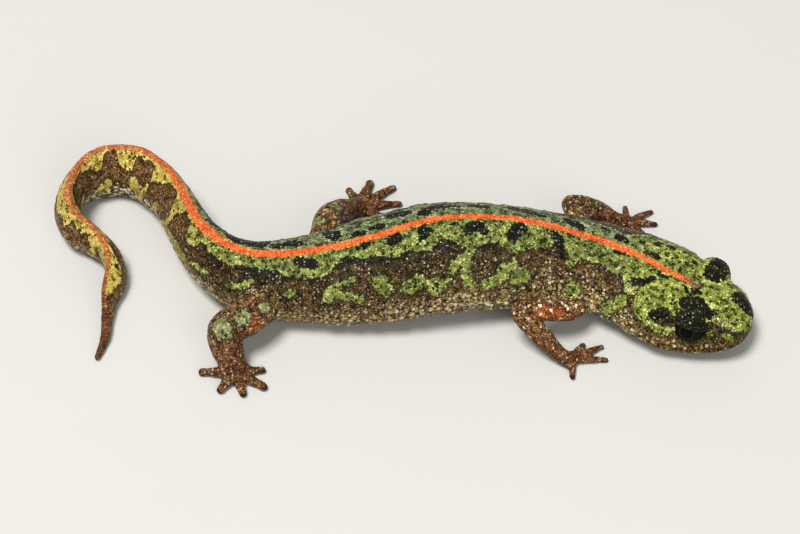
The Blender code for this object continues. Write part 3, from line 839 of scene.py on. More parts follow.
@dataclass
class Eye:
    """An eyeball in its socket, and the lids round it."""

    side: Side
    body: Body
    along: float = 7.3
    out: float = 4.75
    height: float = 5.9
    radius: float = 2.15
    lid_radius: float = 2.65
    lid_inset: float = 0.4
    tilt: float = 20.0
    opening: Triple = (1.36, 0.27, 0.66)  # half its length, and its reach up and down, in radians
    lid_gap: float = 0.1
    lid_thickness: float = 0.32
    lid_width: float = 0.45
    lid_reach: float = 3.8
    lid_back: float = -0.4
    lid_blend: float = 1.5
    # Width of the painted shadow along the rims of the lids
    rim_width: float = 0.2
    edge_width: float = 0.12
    fold_depth: float = 0.12
    fold_gap: float = 0.75
    fold_width: float = 0.16
    socket_depth: float = 0.35
    cornea_rise: float = 0.035
    cornea_width: float = 0.6
    segments: int = 64
    rows: int = 44

    def __post_init__(self) -> None:
        """Sets the eye's middle and the way it looks."""
        _, forward, left = self.body.directions(self.along)
        tilt = math.radians(self.tilt)
        self.middle = self.body.place(self.along, self.out * self.side.value, self.height)
        self.gaze = left * self.side.value * math.cos(tilt) + UP * math.sin(tilt)
        self.front = forward
        self.over = UP * math.cos(tilt) - left * self.side.value * math.sin(tilt)
        inset = (self.out - self.lid_inset) * self.side.value
        self.lid_middle = self.body.place(self.along, inset, self.height)

    def lid_ball(self) -> Shell:
        """The round swelling of the lids over the eyeball."""
        return ball(self.lid_middle, self.lid_radius)

    def crease_gap(self, points: Points) -> Numbers:
        """Distance of each point from the surface of the lids' swelling."""
        return np.abs(np.linalg.norm(points - self.lid_middle, axis=1) - self.lid_radius)

    def edge_gap(self, way: Points) -> Numbers:
        """Distance over the eyeball from the edge of the lids' opening.

        Args:
            way: Places relative to the middle of the eyeball.

        Returns:
            Millimetres from the edge, less than 0 inside the opening.
        """
        ahead, over, out = way @ self.front, way @ self.over, way @ self.gaze
        flat = np.hypot(ahead, over).clip(1e-6)
        turn = np.arctan2(flat, out)
        ahead, over = ahead / flat * turn, over / flat * turn
        half, upper, lower = self.opening
        spread = np.hypot(ahead / half, over / np.where(over > 0, upper, lower))
        return (spread - 1) * turn / spread.clip(1e-6) * self.radius

    def shape_lids(self, flesh: Flesh) -> Numbers:
        """Opens the lids and draws them close round the eyeball.

        Args:
            flesh: The skin, which is changed.

        Returns:
            How much of a lid's rim each point is, for the painted shadow along the rims.
        """
        way = flesh.points - self.middle
        reach = np.linalg.norm(way, axis=1)
        near = (reach < self.lid_reach) & (way @ self.gaze > self.lid_back)
        gap = self.edge_gap(way)
        thickness = self.lid_thickness * smooth_step(0.0, self.lid_width, gap)
        rim = self.radius + self.lid_gap + thickness
        rim -= self.fold_depth * bell(gap - self.fold_gap, self.fold_width)
        floor = self.radius - self.socket_depth
        wanted = floor + (rim - floor) * smooth_step(-self.edge_width, 0.0, gap)
        keep = smooth_step(self.lid_width, self.lid_blend, gap)
        wanted = wanted * (1 - keep) + reach * keep
        change = np.where(near, wanted / reach.clip(1e-6), 1.0)
        flesh.points = self.middle + way * change[:, None]
        return np.where(near, bell(gap, self.rim_width), 0.0)

    def build(self) -> bpy.types.Object:
        """The eyeball, which keeps how far each point is from the middle of the pupil.

        Returns:
            The eyeball, in metres.
        """
        tilts, turns = np.meshgrid(
            np.linspace(0.01, math.pi - 0.01, self.rows),
            np.arange(self.segments) / self.segments * 2 * math.pi,
            indexing="ij",
        )
        bulge = self.radius * (1 + self.cornea_rise * bell(tilts, self.cornea_width))
        ring = np.sin(tilts)[..., None] * (
            np.cos(turns)[..., None] * self.front + np.sin(turns)[..., None] * self.over
        )
        shell = loft(self.middle + bulge[..., None] * (ring + np.cos(tilts)[..., None] * self.gaze))
        name = "right_eyeball" if self.side is Side.RIGHT else "left_eyeball"
        mesh = bpy.data.meshes.new(name)
        mesh.from_pydata((shell.points * MM).tolist(), [], shell.faces)
        shape = bmesh.new()
        shape.from_mesh(mesh)
        bmesh.ops.recalc_face_normals(shape, faces=shape.faces)
        shape.to_mesh(mesh)
        shape.free()
        mesh.shade_smooth()
        keep_number(mesh, "from_pupil", tilts)
        keep_number(mesh, "off_level", np.abs(np.sin(turns)) * np.sin(tilts))
        return add_object(name, mesh)


@dataclass(frozen=True)
class BeadRow:
    """A row of round beads along the lower edge of each flank, or of the tail."""

    start: float
    end: float
    across: float
    girth: float
    spacing: float
    radius: float
    height: float
    salt: int
    stray_along: float = 0.3
    stray_across: float = 0.8
    least_size: float = 0.7
    size_span: float = 0.5
    least_pale: float = 0.6

    def rise(self, place: Place) -> tuple[Numbers, Numbers]:
        """How far each point stands over the foot of the row, and how pale it is.

        Args:
            place: Where each point is.

        Returns:
            Millimetres, and a share from 0 to 1.
        """
        along, across = place.along, place.across
        half_girth = np.abs(across) / place.girth.clip(1e-6)
        cell = np.floor(along / self.spacing)
        key = np.stack([cell, np.sign(across), 0 * cell], axis=-1)
        off = along / self.spacing - cell - 0.5
        off -= self.stray_along * (scatter(key, self.salt) - 0.5)
        row = np.abs(across) - self.across - self.girth * half_girth
        row -= self.stray_across * (scatter(key, self.salt + 1) - 0.5)
        size = self.radius * (self.least_size + self.size_span * scatter(key, self.salt + 2))
        bead = np.clip(1 - (off * self.spacing / size) ** 2 - (row / size) ** 2, 0.0, 1.0)
        bead *= smooth_step(self.start - 1, self.start + 1, along)
        bead *= smooth_step(self.end + 1, self.end - 1, along)
        pale = self.least_pale + (1 - self.least_pale) * scatter(key, self.salt + 3)
        return self.height * bead, bead * pale


@dataclass
class Relief:
    """The folds, warts and grains that stand on the skin or are sunk in it."""

    body: Body
    warts: Grains = Grains(0.98, 11)
    grains: Grains = Grains(0.5, 23)
    wart_height: float = 0.1
    grain_height: float = 0.035
    grain_radius: float = 0.32
    rib_depth: float = 0.12
    rib_width: float = 0.3
    lumps: tuple[tuple[float, float, int], ...] = ((0.1, 3.1, 3), (0.05, 1.4, 4))
    beads: tuple[BeadRow, ...] = (
        BeadRow(31.0, 64.0, 10.9, 0.0, 1.15, 0.28, 0.1, 71),
        BeadRow(31.0, 64.0, 12.2, 0.0, 1.0, 0.4, 0.16, 81),
        BeadRow(31.0, 64.0, 13.7, 0.0, 1.35, 0.66, 0.24, 91),
        BeadRow(74.0, 112.0, 0.0, 0.66, 0.62, 0.3, 0.09, 101),
        BeadRow(76.0, 110.0, 0.0, 0.76, 0.7, 0.34, 0.1, 111),
    )
    throat_fold: float = 17.4
    throat_wander: float = 0.5
    throat_width: float = 0.3
    throat_depth: float = 0.28
    throat_roll: float = 0.16
    mouth_corner: float = 11.6
    mouth_depth: float = 0.34
    mouth_width: float = 0.17
    lip_height: float = 0.12
    lip_width: float = 0.3
    mouth_heights: Triple = (3.5, 2.9, 2.4)  # at the snout, under the eye and at the corner
    eye_along: float = 7.3
    nostril_along: float = 1.2
    nostril_angle: float = 33.0
    nostril_radius: float = 0.42
    nostril_brim: float = 0.08
    nostril_depth: float = 0.5
    vent: float = 74.5
    vent_height: float = 0.45
    slit_depth: float = 0.35

    def mouth_line(self, along: Numbers) -> Numbers:
        """The line of the mouth.

        Args:
            along: Distances from the snout.

        Returns:
            Its heights above the floor.
        """
        snout, eye, corner = self.mouth_heights
        xs = (-2.0, 1.0, self.eye_along, self.mouth_corner, self.mouth_corner + 2.0)
        return even_curve(xs, (snout, snout, eye, corner, corner - 0.3), along)

    def mouth_gap(self, points: Points, place: Place) -> Numbers:
        """How far each point is from the line of the mouth.

        Args:
            points: The skin's points.
            place: Where each of them is.

        Returns:
            Millimetres above the line, large past the corner of the mouth.
        """
        gap = points[:, 2] - self.mouth_line(place.along)
        past = (place.along - self.mouth_corner).clip(0.0)
        return np.sign(gap + 1e-9) * np.hypot(gap, 3 * past)

    def wart_share(self, points: Points, place: Place) -> Numbers:
        """How much of a wart each point is.

        Args:
            points: The skin's points.
            place: Where each of them is.

        Returns:
            Shares from 0 off the warts to 1 at their tops.
        """
        gap, number = self.warts.nearest(points)
        wanted = 0.25 + 0.6 * smooth_step(0.15, 0.5, place.girth) * smooth_step(10, 24, place.along)
        wanted *= 1 - 0.5 * smooth_step(0.8, 0.95, place.girth)
        size = 0.24 + 0.16 * (number * 7 % 1)
        there = smooth_step(0.0, 0.05, wanted - number)
        return there * np.clip(1 - (gap / size) ** 2, 0.0, 1.0)

    def shape(self, flesh: Flesh, place: Place) -> tuple[Numbers, Numbers]:
        """Raises and sinks the skin.

        Args:
            flesh: The skin, which is changed.
            place: Where each of its points is.

        Returns:
            How much of a wart each point is, and how deep in a fold, which sets the painted shade
            there.
        """
        points, along, girth = flesh.points, place.along, place.girth
        body_only = 1 - place.limb
        trunk = smooth_step(28, 31, along) * smooth_step(66, 63, along) * body_only
        turns = self.body.rib_turns(along)
        spacing = (self.body.grooves_to - self.body.grooves_from) / self.body.groove_count
        ribs = np.abs(turns - np.round(turns - 0.5) - 0.5) * spacing
        flank = smooth_step(0.22, 0.4, girth) * smooth_step(0.95, 0.8, girth)
        # Painted shade in the rib grooves: how much the skin's colour is darkened there
        fold_shade = 0.6 * bell(ribs, 0.2) * trunk * flank
        rise = -self.rib_depth * bell(ribs, self.rib_width) * trunk * flank
        rise += sum(height * even_noise(points, size, salt) for height, size, salt in self.lumps)

        # The fold across the throat, with painted shade in it, and the beads along the flanks
        throat = self.throat_fold + self.throat_wander * even_noise(points, 4.0, 5)
        behind = smooth_step(0.42, 0.62, girth) * body_only
        rise -= self.throat_depth * bell(along - throat, self.throat_width) * behind
        roll = bell(along - throat + 0.9, 0.5) * smooth_step(0.5, 0.7, girth)
        rise += self.throat_roll * roll * body_only
        fold_shade = np.maximum(fold_shade, bell(along - throat, 0.22) * behind)
        beads, pale = (sum(parts) for parts in zip(*(row.rise(place) for row in self.beads)))
        rise += beads * body_only

        # The mouth, and warts everywhere but on its lips
        mouth = self.mouth_gap(points, place)
        front = smooth_step(self.mouth_corner + 0.6, self.mouth_corner - 0.4, along) * body_only
        rise -= self.mouth_depth * bell(mouth, self.mouth_width) * front
        rise += self.lip_height * bell(mouth - 0.45, self.lip_width) * front
        wart = self.wart_share(points, place) * (1 - 0.4 * place.limb) * (1 - place.tip)
        wart *= 1 - bell(mouth, self.lip_width) * front
        rise += self.wart_height * wart

        # Fine grains, and the vent
        gap, number = self.grains.nearest(points)
        grain = np.clip(1 - (gap / self.grain_radius) ** 2, -0.4, 1.0) * (1 - 0.8 * place.tip)
        rise += self.grain_height * (0.5 + number) * grain
        vent = np.hypot((along - self.vent) / 2.4, (1 - girth) / 0.16)
        slit = self.slit_depth * bell((1 - girth) * 8, 0.25) * bell(along - self.vent, 1.4)
        rise += (self.vent_height * bell(vent, 0.8) - slit) * body_only
        flesh.points = points + flesh.normals() * rise[:, None]
        self.sink_nostrils(flesh)
        return np.maximum(wart, pale * body_only), fold_shade

    def sink_nostrils(self, flesh: Flesh) -> None:
        """Presses the two nostrils into the snout.

        Args:
            flesh: The skin, which is changed.
        """
        normals = flesh.normals()
        for side in Side:
            tilt = self.nostril_angle if side is Side.LEFT else 180.0 - self.nostril_angle
            middle = self.body.surface(np.array([self.nostril_along]), np.radians([tilt]))[0, 0]
            gap = np.linalg.norm(flesh.points - middle, axis=1)
            brim = self.nostril_brim * bell(gap - self.nostril_radius, 0.16)
            flesh.points += normals * (brim - self.nostril_depth * bell(gap, 0.24))[:, None]


@dataclass(frozen=True)
class Stroke:
    """A patch of one colour on the flattened skin: a line of (along, across) with round ends."""

    radius: float
    points: tuple[Pair, ...]

    def inside(self, along: Numbers, across: Numbers) -> Numbers:
        """How far inside the patch each place is.

        Args:
            along: Distances from the snout.
            across: Distances from the ridge.

        Returns:
            Millimetres inside its edge, less than 0 outside it.
        """
        place = np.stack([along, across], axis=-1)
        gap = np.full(len(along), np.inf)
        for start, end in zip(self.points, self.points[1:] or self.points):
            start, way = np.array(start), np.array(end) - np.array(start)
            share = np.clip((place - start) @ way / max(way @ way, 1e-9), 0.0, 1.0)
            gap = np.minimum(gap, np.linalg.norm(place - start - share[:, None] * way, axis=1))
        return self.radius - gap


def strokes(*rows: tuple[float, ...]) -> tuple[Stroke, ...]:
    """Patches from rows of a radius, then along and across of each point in turn."""
    return tuple(Stroke(row[0], tuple(zip(row[1::2], row[2::2]))) for row in rows)


# Lower edge of the green along the back, on the right side and on the left
RIGHT_EDGE = (
    (0.0, 2.0), (1.0, 3.2), (2.0, 3.7), (4.2, 4.2), (5.4, 4.2), (9.2, 5.6), (10.4, 5.2),
    (11.5, 5.6), (12.2, 7.6), (12.9, 8.3), (13.7, 8.0), (14.3, 7.0), (14.7, 5.4), (15.6, 5.9),
    (16.6, 5.6), (17.3, 5.0), (17.9, 3.9), (20.0, 4.1), (21.5, 3.4), (22.7, 3.7), (24.5, 3.5),
    (25.4, 4.0), (26.2, 5.2), (27.4, 5.3), (28.0, 3.0), (29.0, 3.2), (30.5, 4.0), (32.0, 4.4),
    (33.4, 5.1), (35.2, 5.9), (36.2, 5.2), (37.2, 4.5), (38.2, 4.6), (39.6, 5.2), (40.6, 4.8),
    (41.4, 5.2), (42.5, 5.0), (43.4, 4.2), (45.0, 3.5), (45.7, 3.8), (46.2, 4.6), (47.4, 4.9),
    (48.6, 4.4), (50.0, 3.8), (51.6, 4.1), (53.2, 3.8), (54.6, 3.2), (56.4, 2.8), (57.5, 2.1),
    (59.0, 2.1), (60.0, 2.8), (60.8, 4.0), (62.2, 4.2), (64.6, 3.7), (66.4, 3.4), (67.5, 2.4),
    (70.0, 2.2), (71.4, 2.0), (73.0, 2.6), (74.6, 2.4), (76.4, 2.3), (77.2, 1.6), (78.3, 1.8),
    (78.9, 3.0), (80.0, 3.5), (81.2, 3.3), (81.6, 1.1), (84.1, 1.0), (84.7, 2.0), (86.0, 3.1),
    (87.0, 2.9), (87.4, 1.0), (90.2, 1.0), (90.9, 1.9), (92.4, 2.8), (93.8, 3.6), (94.3, 1.2),
    (96.0, 0.9), (96.8, 1.3), (98.0, 1.2), (98.4, 3.8), (99.6, 3.5), (100.7, 3.3), (101.2, 1.0),
    (102.6, 0.9), (103.2, 1.4), (103.8, 2.8), (104.8, 3.1), (105.6, 2.3), (107.4, 1.7),
    (108.4, 0.8), (112.0, 0.8), (114.0, 1.4), (117.0, 1.7), (119.0, 0.9), (121.0, 1.8),
    (123.6, 0.9), (125.3, 1.6), (126.4, 2.8), (128.6, 2.6), (130.2, 1.5), (131.2, 0.4),
    (133.0, 0.1), (140.0, 0.0),
)
LEFT_EDGE = (
    (0.0, 2.0), (2.0, 4.0), (5.0, 5.4), (9.0, 7.2), (13.0, 7.6), (16.0, 6.8), (18.6, 5.0),
    (20.0, 3.4), (23.0, 3.8), (25.0, 4.6), (27.0, 3.2), (29.5, 4.4), (31.5, 5.4), (34.0, 4.6),
    (36.0, 5.6), (38.5, 6.2), (40.5, 4.6), (43.0, 4.0), (45.0, 5.2), (47.5, 5.8), (50.0, 4.4),
    (52.5, 5.4), (55.0, 6.0), (57.0, 5.6), (58.6, 4.4), (60.4, 4.2), (62.0, 5.2), (64.5, 4.6),
    (67.0, 4.8), (68.4, 4.2), (69.6, 1.3), (72.0, 0.9), (76.4, 0.9), (77.2, 1.7), (78.6, 1.9),
    (79.4, 0.9), (81.2, 1.0), (82.0, 2.2), (83.6, 2.4), (84.6, 1.0), (87.0, 2.6), (89.6, 3.2),
    (91.0, 1.0), (93.6, 1.2), (94.6, 3.2), (97.6, 3.4), (98.8, 1.0), (101.0, 1.4), (102.2, 3.2),
    (105.0, 3.0), (106.4, 1.0), (109.0, 1.4), (111.0, 3.0), (113.6, 3.6), (114.6, 2.6),
    (116.0, 3.5), (116.9, 1.4), (118.4, 2.6), (119.6, 1.6), (120.6, 3.2), (122.0, 2.0),
    (123.0, 3.2), (125.5, 2.8), (127.0, 1.2), (129.0, 1.8), (131.0, 0.8), (133.0, 0.3),
    (135.0, 0.1), (140.0, 0.0),
)

# Green patches and branches below that edge; across is less than 0 on the left
GREEN_STROKES = strokes(
    (0.45, 4.4, 5.2, 4.6, 5.9), (0.4, 2.4, 5.0, 3.0, 5.2), (0.5, 12.7, 7.9, 11.4, 8.4, 10.0, 8.4),
    (0.75, 16.2, 7.1, 16.9, 7.3), (1.0, 18.0, 8.6, 18.6, 8.9), (1.05, 25.9, 8.2, 26.2, 9.4),
    (0.5, 34.7, 6.7, 34.9, 8.0), (1.0, 33.6, 8.5, 34.6, 9.2), (0.65, 35.4, 7.8, 36.9, 8.2),
    (0.75, 36.4, 8.9, 38.0, 10.2, 39.0, 10.4), (0.62, 40.6, 4.6, 41.5, 6.2, 42.0, 8.2, 42.0, 9.2),
    (0.7, 41.6, 10.0, 41.2, 10.4), (0.5, 42.4, 6.4, 43.6, 7.3, 44.7, 9.4),
    (1.25, 46.4, 9.9, 47.1, 9.8), (0.55, 47.9, 9.2, 49.0, 8.8), (1.15, 49.9, 8.4, 50.7, 8.7),
    (0.85, 54.5, 6.7, 53.7, 8.2), (0.38, 57.9, 5.4, 59.1, 5.6), (1.05, 60.3, 6.4, 60.8, 6.9),
    (0.5, 59.6, 7.3, 58.2, 7.8, 57.2, 8.5), (0.55, 65.7, 5.8, 66.2, 6.0),
    (0.42, 70.3, 4.2, 71.2, 5.0, 72.8, 5.4), (0.42, 76.2, 5.2, 78.3, 5.6),
    (0.75, 79.8, 6.4, 82.2, 5.9, 84.8, 6.2, 87.4, 6.6), (0.62, 86.1, 3.0, 86.2, 4.6, 86.6, 6.0),
    (0.6, 90.6, 5.6, 91.2, 6.6), (0.35, 94.3, 4.6, 94.5, 5.6), (1.1, 95.8, 6.4, 97.6, 5.6),
    (0.9, 103.3, 5.9, 104.6, 6.5), (0.6, 110.0, 4.5, 110.6, 6.0), (0.9, 28.0, -8.4, 29.0, -9.2),
    (0.6, 31.2, -5.0, 32.0, -6.8, 33.2, -8.6), (1.1, 36.8, -9.2, 38.0, -9.6),
    (0.7, 40.0, -10.4, 41.2, -10.8), (0.6, 44.6, -5.0, 44.0, -7.0, 45.0, -9.0),
    (1.2, 48.2, -9.4, 49.2, -9.0), (0.9, 52.4, -9.6, 53.2, -8.8),
    (0.55, 55.6, -6.0, 56.2, -7.6, 57.6, -8.6), (1.0, 60.2, -7.2, 61.4, -7.6),
    (0.6, 64.8, -6.6, 65.8, -6.2), (0.5, 72.0, -5.2, 74.6, -5.6),
    (0.7, 78.4, -6.2, 80.6, -5.8, 83.0, -6.4), (0.9, 88.2, -6.0, 89.6, -6.4),
    (0.8, 93.4, -5.6, 94.6, -6.4), (1.0, 99.8, -5.8, 101.2, -6.0),
    (0.7, 107.6, -5.0, 108.4, -6.0), (0.5, 121.0, -3.0, 120.8, -4.6),
)

# Black spots in the green
BLACK_STROKES = strokes(
    (1.15, 1.1, -0.4, 2.4, -1.0, 1.6, -1.6), (1.0, 6.5, -2.6, 7.3, -2.9, 7.4, -5.0, 7.0, -6.0),
    (0.8, 5.7, -3.8, 5.9, -5.8), (0.95, 5.9, 3.3, 7.2, 2.5, 8.6, 3.5), (0.95, 6.6, 4.6, 7.6, 4.6),
    (0.9, 5.9, 5.3, 8.4, 5.3), (0.28, 5.0, 3.0, 4.7, 2.9), (0.7, 10.6, 6.3, 11.5, 6.9),
    (0.45, 7.6, 0.9, 8.3, 1.2), (0.3, 8.9, 1.6, 9.8, 1.2), (0.5, 13.9, 2.4, 14.3, 3.0),
    (0.62, 14.6, 3.6, 15.9, 3.9), (0.32, 18.4, 3.2, 18.3, 3.9), (0.42, 19.2, 0.7, 20.2, 0.8),
    (0.35, 12.5, 1.1, 13.2, 1.2), (0.36, 10.0, -3.3, 10.2, -3.5), (0.52, 14.0, -4.2, 14.6, -4.5),
    (0.42, 16.1, -3.5, 16.0, -4.2), (0.36, 17.9, -2.7, 17.8, -3.0),
    (0.42, 15.0, -1.2, 16.4, -1.3), (0.22, 12.0, -2.2, 12.1, -2.2),
    (0.25, 12.2, -4.6, 12.3, -4.9), (0.7, 20.0, -1.7, 20.8, -1.9), (0.8, 25.8, -1.8, 27.2, -2.2),
    (0.75, 29.2, 1.4, 28.4, 2.2, 28.6, 3.3, 27.9, 4.3), (0.85, 32.2, -2.5, 35.2, -2.9),
    (0.85, 33.8, 1.7, 34.6, 2.2, 35.2, 3.3), (0.7, 38.9, 3.0, 39.6, 2.3, 41.2, 2.2, 41.2, 2.9),
    (1.0, 39.8, 2.0, 40.8, 2.1), (0.3, 42.8, 1.4, 43.4, 1.5), (0.95, 47.2, 1.7, 47.7, 2.3),
    (0.85, 51.3, 1.5, 52.1, 1.7), (0.5, 55.3, 1.0, 56.4, 1.2), (0.7, 62.7, 2.2, 64.7, 1.5),
    (0.9, 43.8, -3.2, 45.6, -3.0, 46.6, -2.0), (1.0, 49.2, -3.2, 51.0, -3.6),
    (0.5, 52.6, -1.5, 54.2, -1.7), (0.55, 55.6, -1.3, 56.8, -1.4), (1.0, 59.4, -2.2, 60.2, -3.2),
    (0.85, 64.8, -1.7, 66.0, -2.2), (0.7, 67.2, -1.5, 68.2, -1.6), (0.35, 46.7, 9.7, 46.9, 9.7),
    (0.35, 126.6, 1.6, 126.7, 2.1), (0.3, 22.4, -2.8, 23.0, -2.9), (0.4, 30.6, -1.7, 31.4, -1.9),
    (0.7, 38.4, -2.6, 40.2, -3.0), (0.35, 42.0, -2.6, 42.8, -2.8),
)

# Whitish patches among the green
PALE_STROKES = strokes(
    (0.55, 2.4, 3.5, 4.8, 3.6), (0.6, 9.9, 8.6, 10.8, 8.5), (0.6, 15.4, 5.0, 16.2, 5.2),
    (0.5, 69.8, 5.3, 71.0, 5.8), (0.6, 20.5, 10.2, 25.0, 10.6),
)

# Middle of the orange stripe across the ridge, and half its width
STRIPE_MIDDLE = (
    (7.0, 0.15), (12.0, 0.0), (18.0, -0.1), (24.0, -0.22), (31.0, 0.0), (35.0, 0.12), (44.0, 0.0),
    (140.0, 0.0),
)
STRIPE_HALF = (
    (0.0, -3.0), (7.0, -0.6), (7.8, 0.2), (8.8, 0.45), (11.0, 0.42), (16.0, 0.44), (20.0, 0.56),
    (60.0, 0.55), (74.0, 0.62), (88.0, 0.78), (100.0, 0.78), (112.0, 0.74), (118.0, 0.62),
    (126.0, 0.55), (133.0, 0.42), (138.0, 0.25), (140.0, 0.1),
)

# Green patches on the legs: (x, y, height) on the plan, then the radius
LEG_PATCHES = (
    (-21.2, -15.9, 6.9, 1.25), (-23.6, -17.3, 6.6, 1.5), (-18.2, -14.0, 7.2, 0.8),
    (-19.2, -16.4, 4.4, 0.8), (-22.0, -18.9, 3.0, 0.7), (19.8, -15.4, 4.6, 0.6),
    (-11.4, 1.4, 6.9, 1.0), (-9.2, 4.6, 6.2, 0.9), (-7.6, 7.6, 3.9, 0.6), (24.4, 4.8, 6.9, 0.7),
    (27.6, 6.2, 5.2, 0.6),
)

# Orange-red flushes on the upper arms and the near thigh, in the same numbers
FLUSHES = (
    (19.4, -14.3, 6.2, 1.6), (20.8, -14.3, 5.7, 1.7), (22.6, -14.2, 5.0, 1.2),
    (-19.6, -16.2, 6.2, 1.6), (24.2, 5.2, 4.3, 1.2), (23.6, 2.6, 3.6, 1.3),
)


@dataclass
class Markings:
    """Where the skin is green, black and orange."""

    right_edge: tuple[Pair, ...] = RIGHT_EDGE
    left_edge: tuple[Pair, ...] = LEFT_EDGE
    green: tuple[Stroke, ...] = GREEN_STROKES
    black: tuple[Stroke, ...] = BLACK_STROKES
    pale: tuple[Stroke, ...] = PALE_STROKES
    leg_patches: tuple[tuple[float, float, float, float], ...] = LEG_PATCHES
    flushes: tuple[tuple[float, float, float, float], ...] = FLUSHES
    pale_edge: float = 0.35
    ink_edge: float = 0.45
    far: float = 4.0

    def green_depth(self, points: Points, place: Place) -> Numbers:
        """How far inside the green each point is.

        Args:
            points: The skin's points.
            place: Where each of them is.

        Returns:
            Millimetres inside the green's edge, less than 0 outside it.
        """
        along, across = place.along, place.across
        right = np.interp(along, *np.array(self.right_edge).T)
        left = np.interp(along, *np.array(self.left_edge).T)
        depth = np.where(across > 0, right, left) - np.abs(across)
        for stroke in self.green:
            depth = np.maximum(depth, stroke.inside(along, across))
        for stroke in self.black:
            depth = np.minimum(depth, -stroke.inside(along, across))
        legs = np.full(len(points), -self.far)
        for x, y, z, radius in self.leg_patches:
            legs = np.maximum(legs, radius - np.linalg.norm(points - on_plan(x, y, z), axis=1))
        depth = np.where(place.limb > 0.5, legs, depth)
        return np.clip(depth, -self.far, self.far)

    def share_in(self, patches: tuple[Stroke, ...], place: Place, edge: float) -> Numbers:
        """How far each point is in some patches of the body.

        Args:
            patches: The patches.
            place: Where each point is.
            edge: Half the width of their soft edges.

        Returns:
            Shares from 0 outside to 1 inside.
        """
        depth = np.max([patch.inside(place.along, place.across) for patch in patches], axis=0)
        return smooth_step(-edge, edge, depth) * (1 - place.limb)

    def flush(self, points: Points, place: Place) -> Numbers:
        """How orange-red each point of the legs is.

        Args:
            points: The skin's points.
            place: Where each of them is.

        Returns:
            Shares from 0 to 1.
        """
        share = np.zeros(len(points))
        for x, y, z, radius in self.flushes:
            gap = np.linalg.norm(points - on_plan(x, y, z), axis=1)
            share = np.maximum(share, smooth_step(radius, 0.6 * radius, gap))
        return share * place.limb

    def stripe_depth(self, place: Place) -> Numbers:
        """How far inside the orange stripe each point is.

        Args:
            place: Where each point is.

        Returns:
            Millimetres inside its edge, less than 0 outside it.
        """
        middle = np.interp(place.along, *np.array(STRIPE_MIDDLE).T)
        half = np.interp(place.along, *np.array(STRIPE_HALF).T)
        depth = half - np.abs(place.across - middle)
        return np.clip(np.where(place.limb > 0.5, -self.far, depth), -self.far, self.far)


class Value:
    """A number socket of a material, which can be used in sums."""

    def __init__(self, nodes: "Nodes", socket: bpy.types.NodeSocket) -> None:
        """Wraps a socket of these nodes."""
        self.nodes, self.socket = nodes, socket

    def __add__(self, other: "Value | float") -> "Value":
        """This value plus another."""
        return self.nodes.maths("ADD", self, other)

    def __sub__(self, other: "Value | float") -> "Value":
        """This value less another."""
        return self.nodes.maths("SUBTRACT", self, other)

    def __rsub__(self, other: float) -> "Value":
        """A number less this value."""
        return self.nodes.maths("SUBTRACT", other, self)

    def __mul__(self, other: "Value | float") -> "Value":
        """This value times another."""
        return self.nodes.maths("MULTIPLY", self, other)

    __radd__ = __add__
    __rmul__ = __mul__

    def step(self, low: float, high: float) -> "Value":
        """An even rise from 0 to 1.

        Args:
            low: Where this value starts to count; it may be the larger.
            high: Where it counts in full.

        Returns:
            The share from 0 to 1.
        """
        ends = (low, high, 0.0, 1.0) if low < high else (high, low, 1.0, 0.0)
        feeds = dict(zip(("From Min", "From Max", "To Min", "To Max"), ends), Value=self)
        node = self.nodes.add("ShaderNodeMapRange", {"interpolation_type": "SMOOTHSTEP"}, feeds)
        return Value(self.nodes, node.outputs["Result"])

    def between(self, start: float, full: float, fade: float, end: float) -> "Value":
        """A rise from 0 at start to 1 at full, and a fall from fade to 0 again at end."""
        return self.step(start, full) * self.step(end, fade)


class Arrow(Value):
    """A vector socket of a material."""

    def __add__(self, other: "Arrow | Triple") -> "Arrow":
        """This vector plus another."""
        return self.nodes.vector_maths("ADD", self, other)

    def __sub__(self, other: "Arrow | Triple") -> "Arrow":
        """This vector less another."""
        return self.nodes.vector_maths("SUBTRACT", self, other)

    def __mul__(self, other: float) -> "Arrow":
        """This vector made longer or shorter."""
        return self.nodes.vector_maths("MULTIPLY", self, (other, other, other))

    def dot(self, other: "Arrow") -> Value:
        """How much this vector lies along another."""
        node = self.nodes.add("ShaderNodeVectorMath", {"operation": "DOT_PRODUCT"}, {0: self, 1: other})
        return Value(self.nodes, node.outputs["Value"])


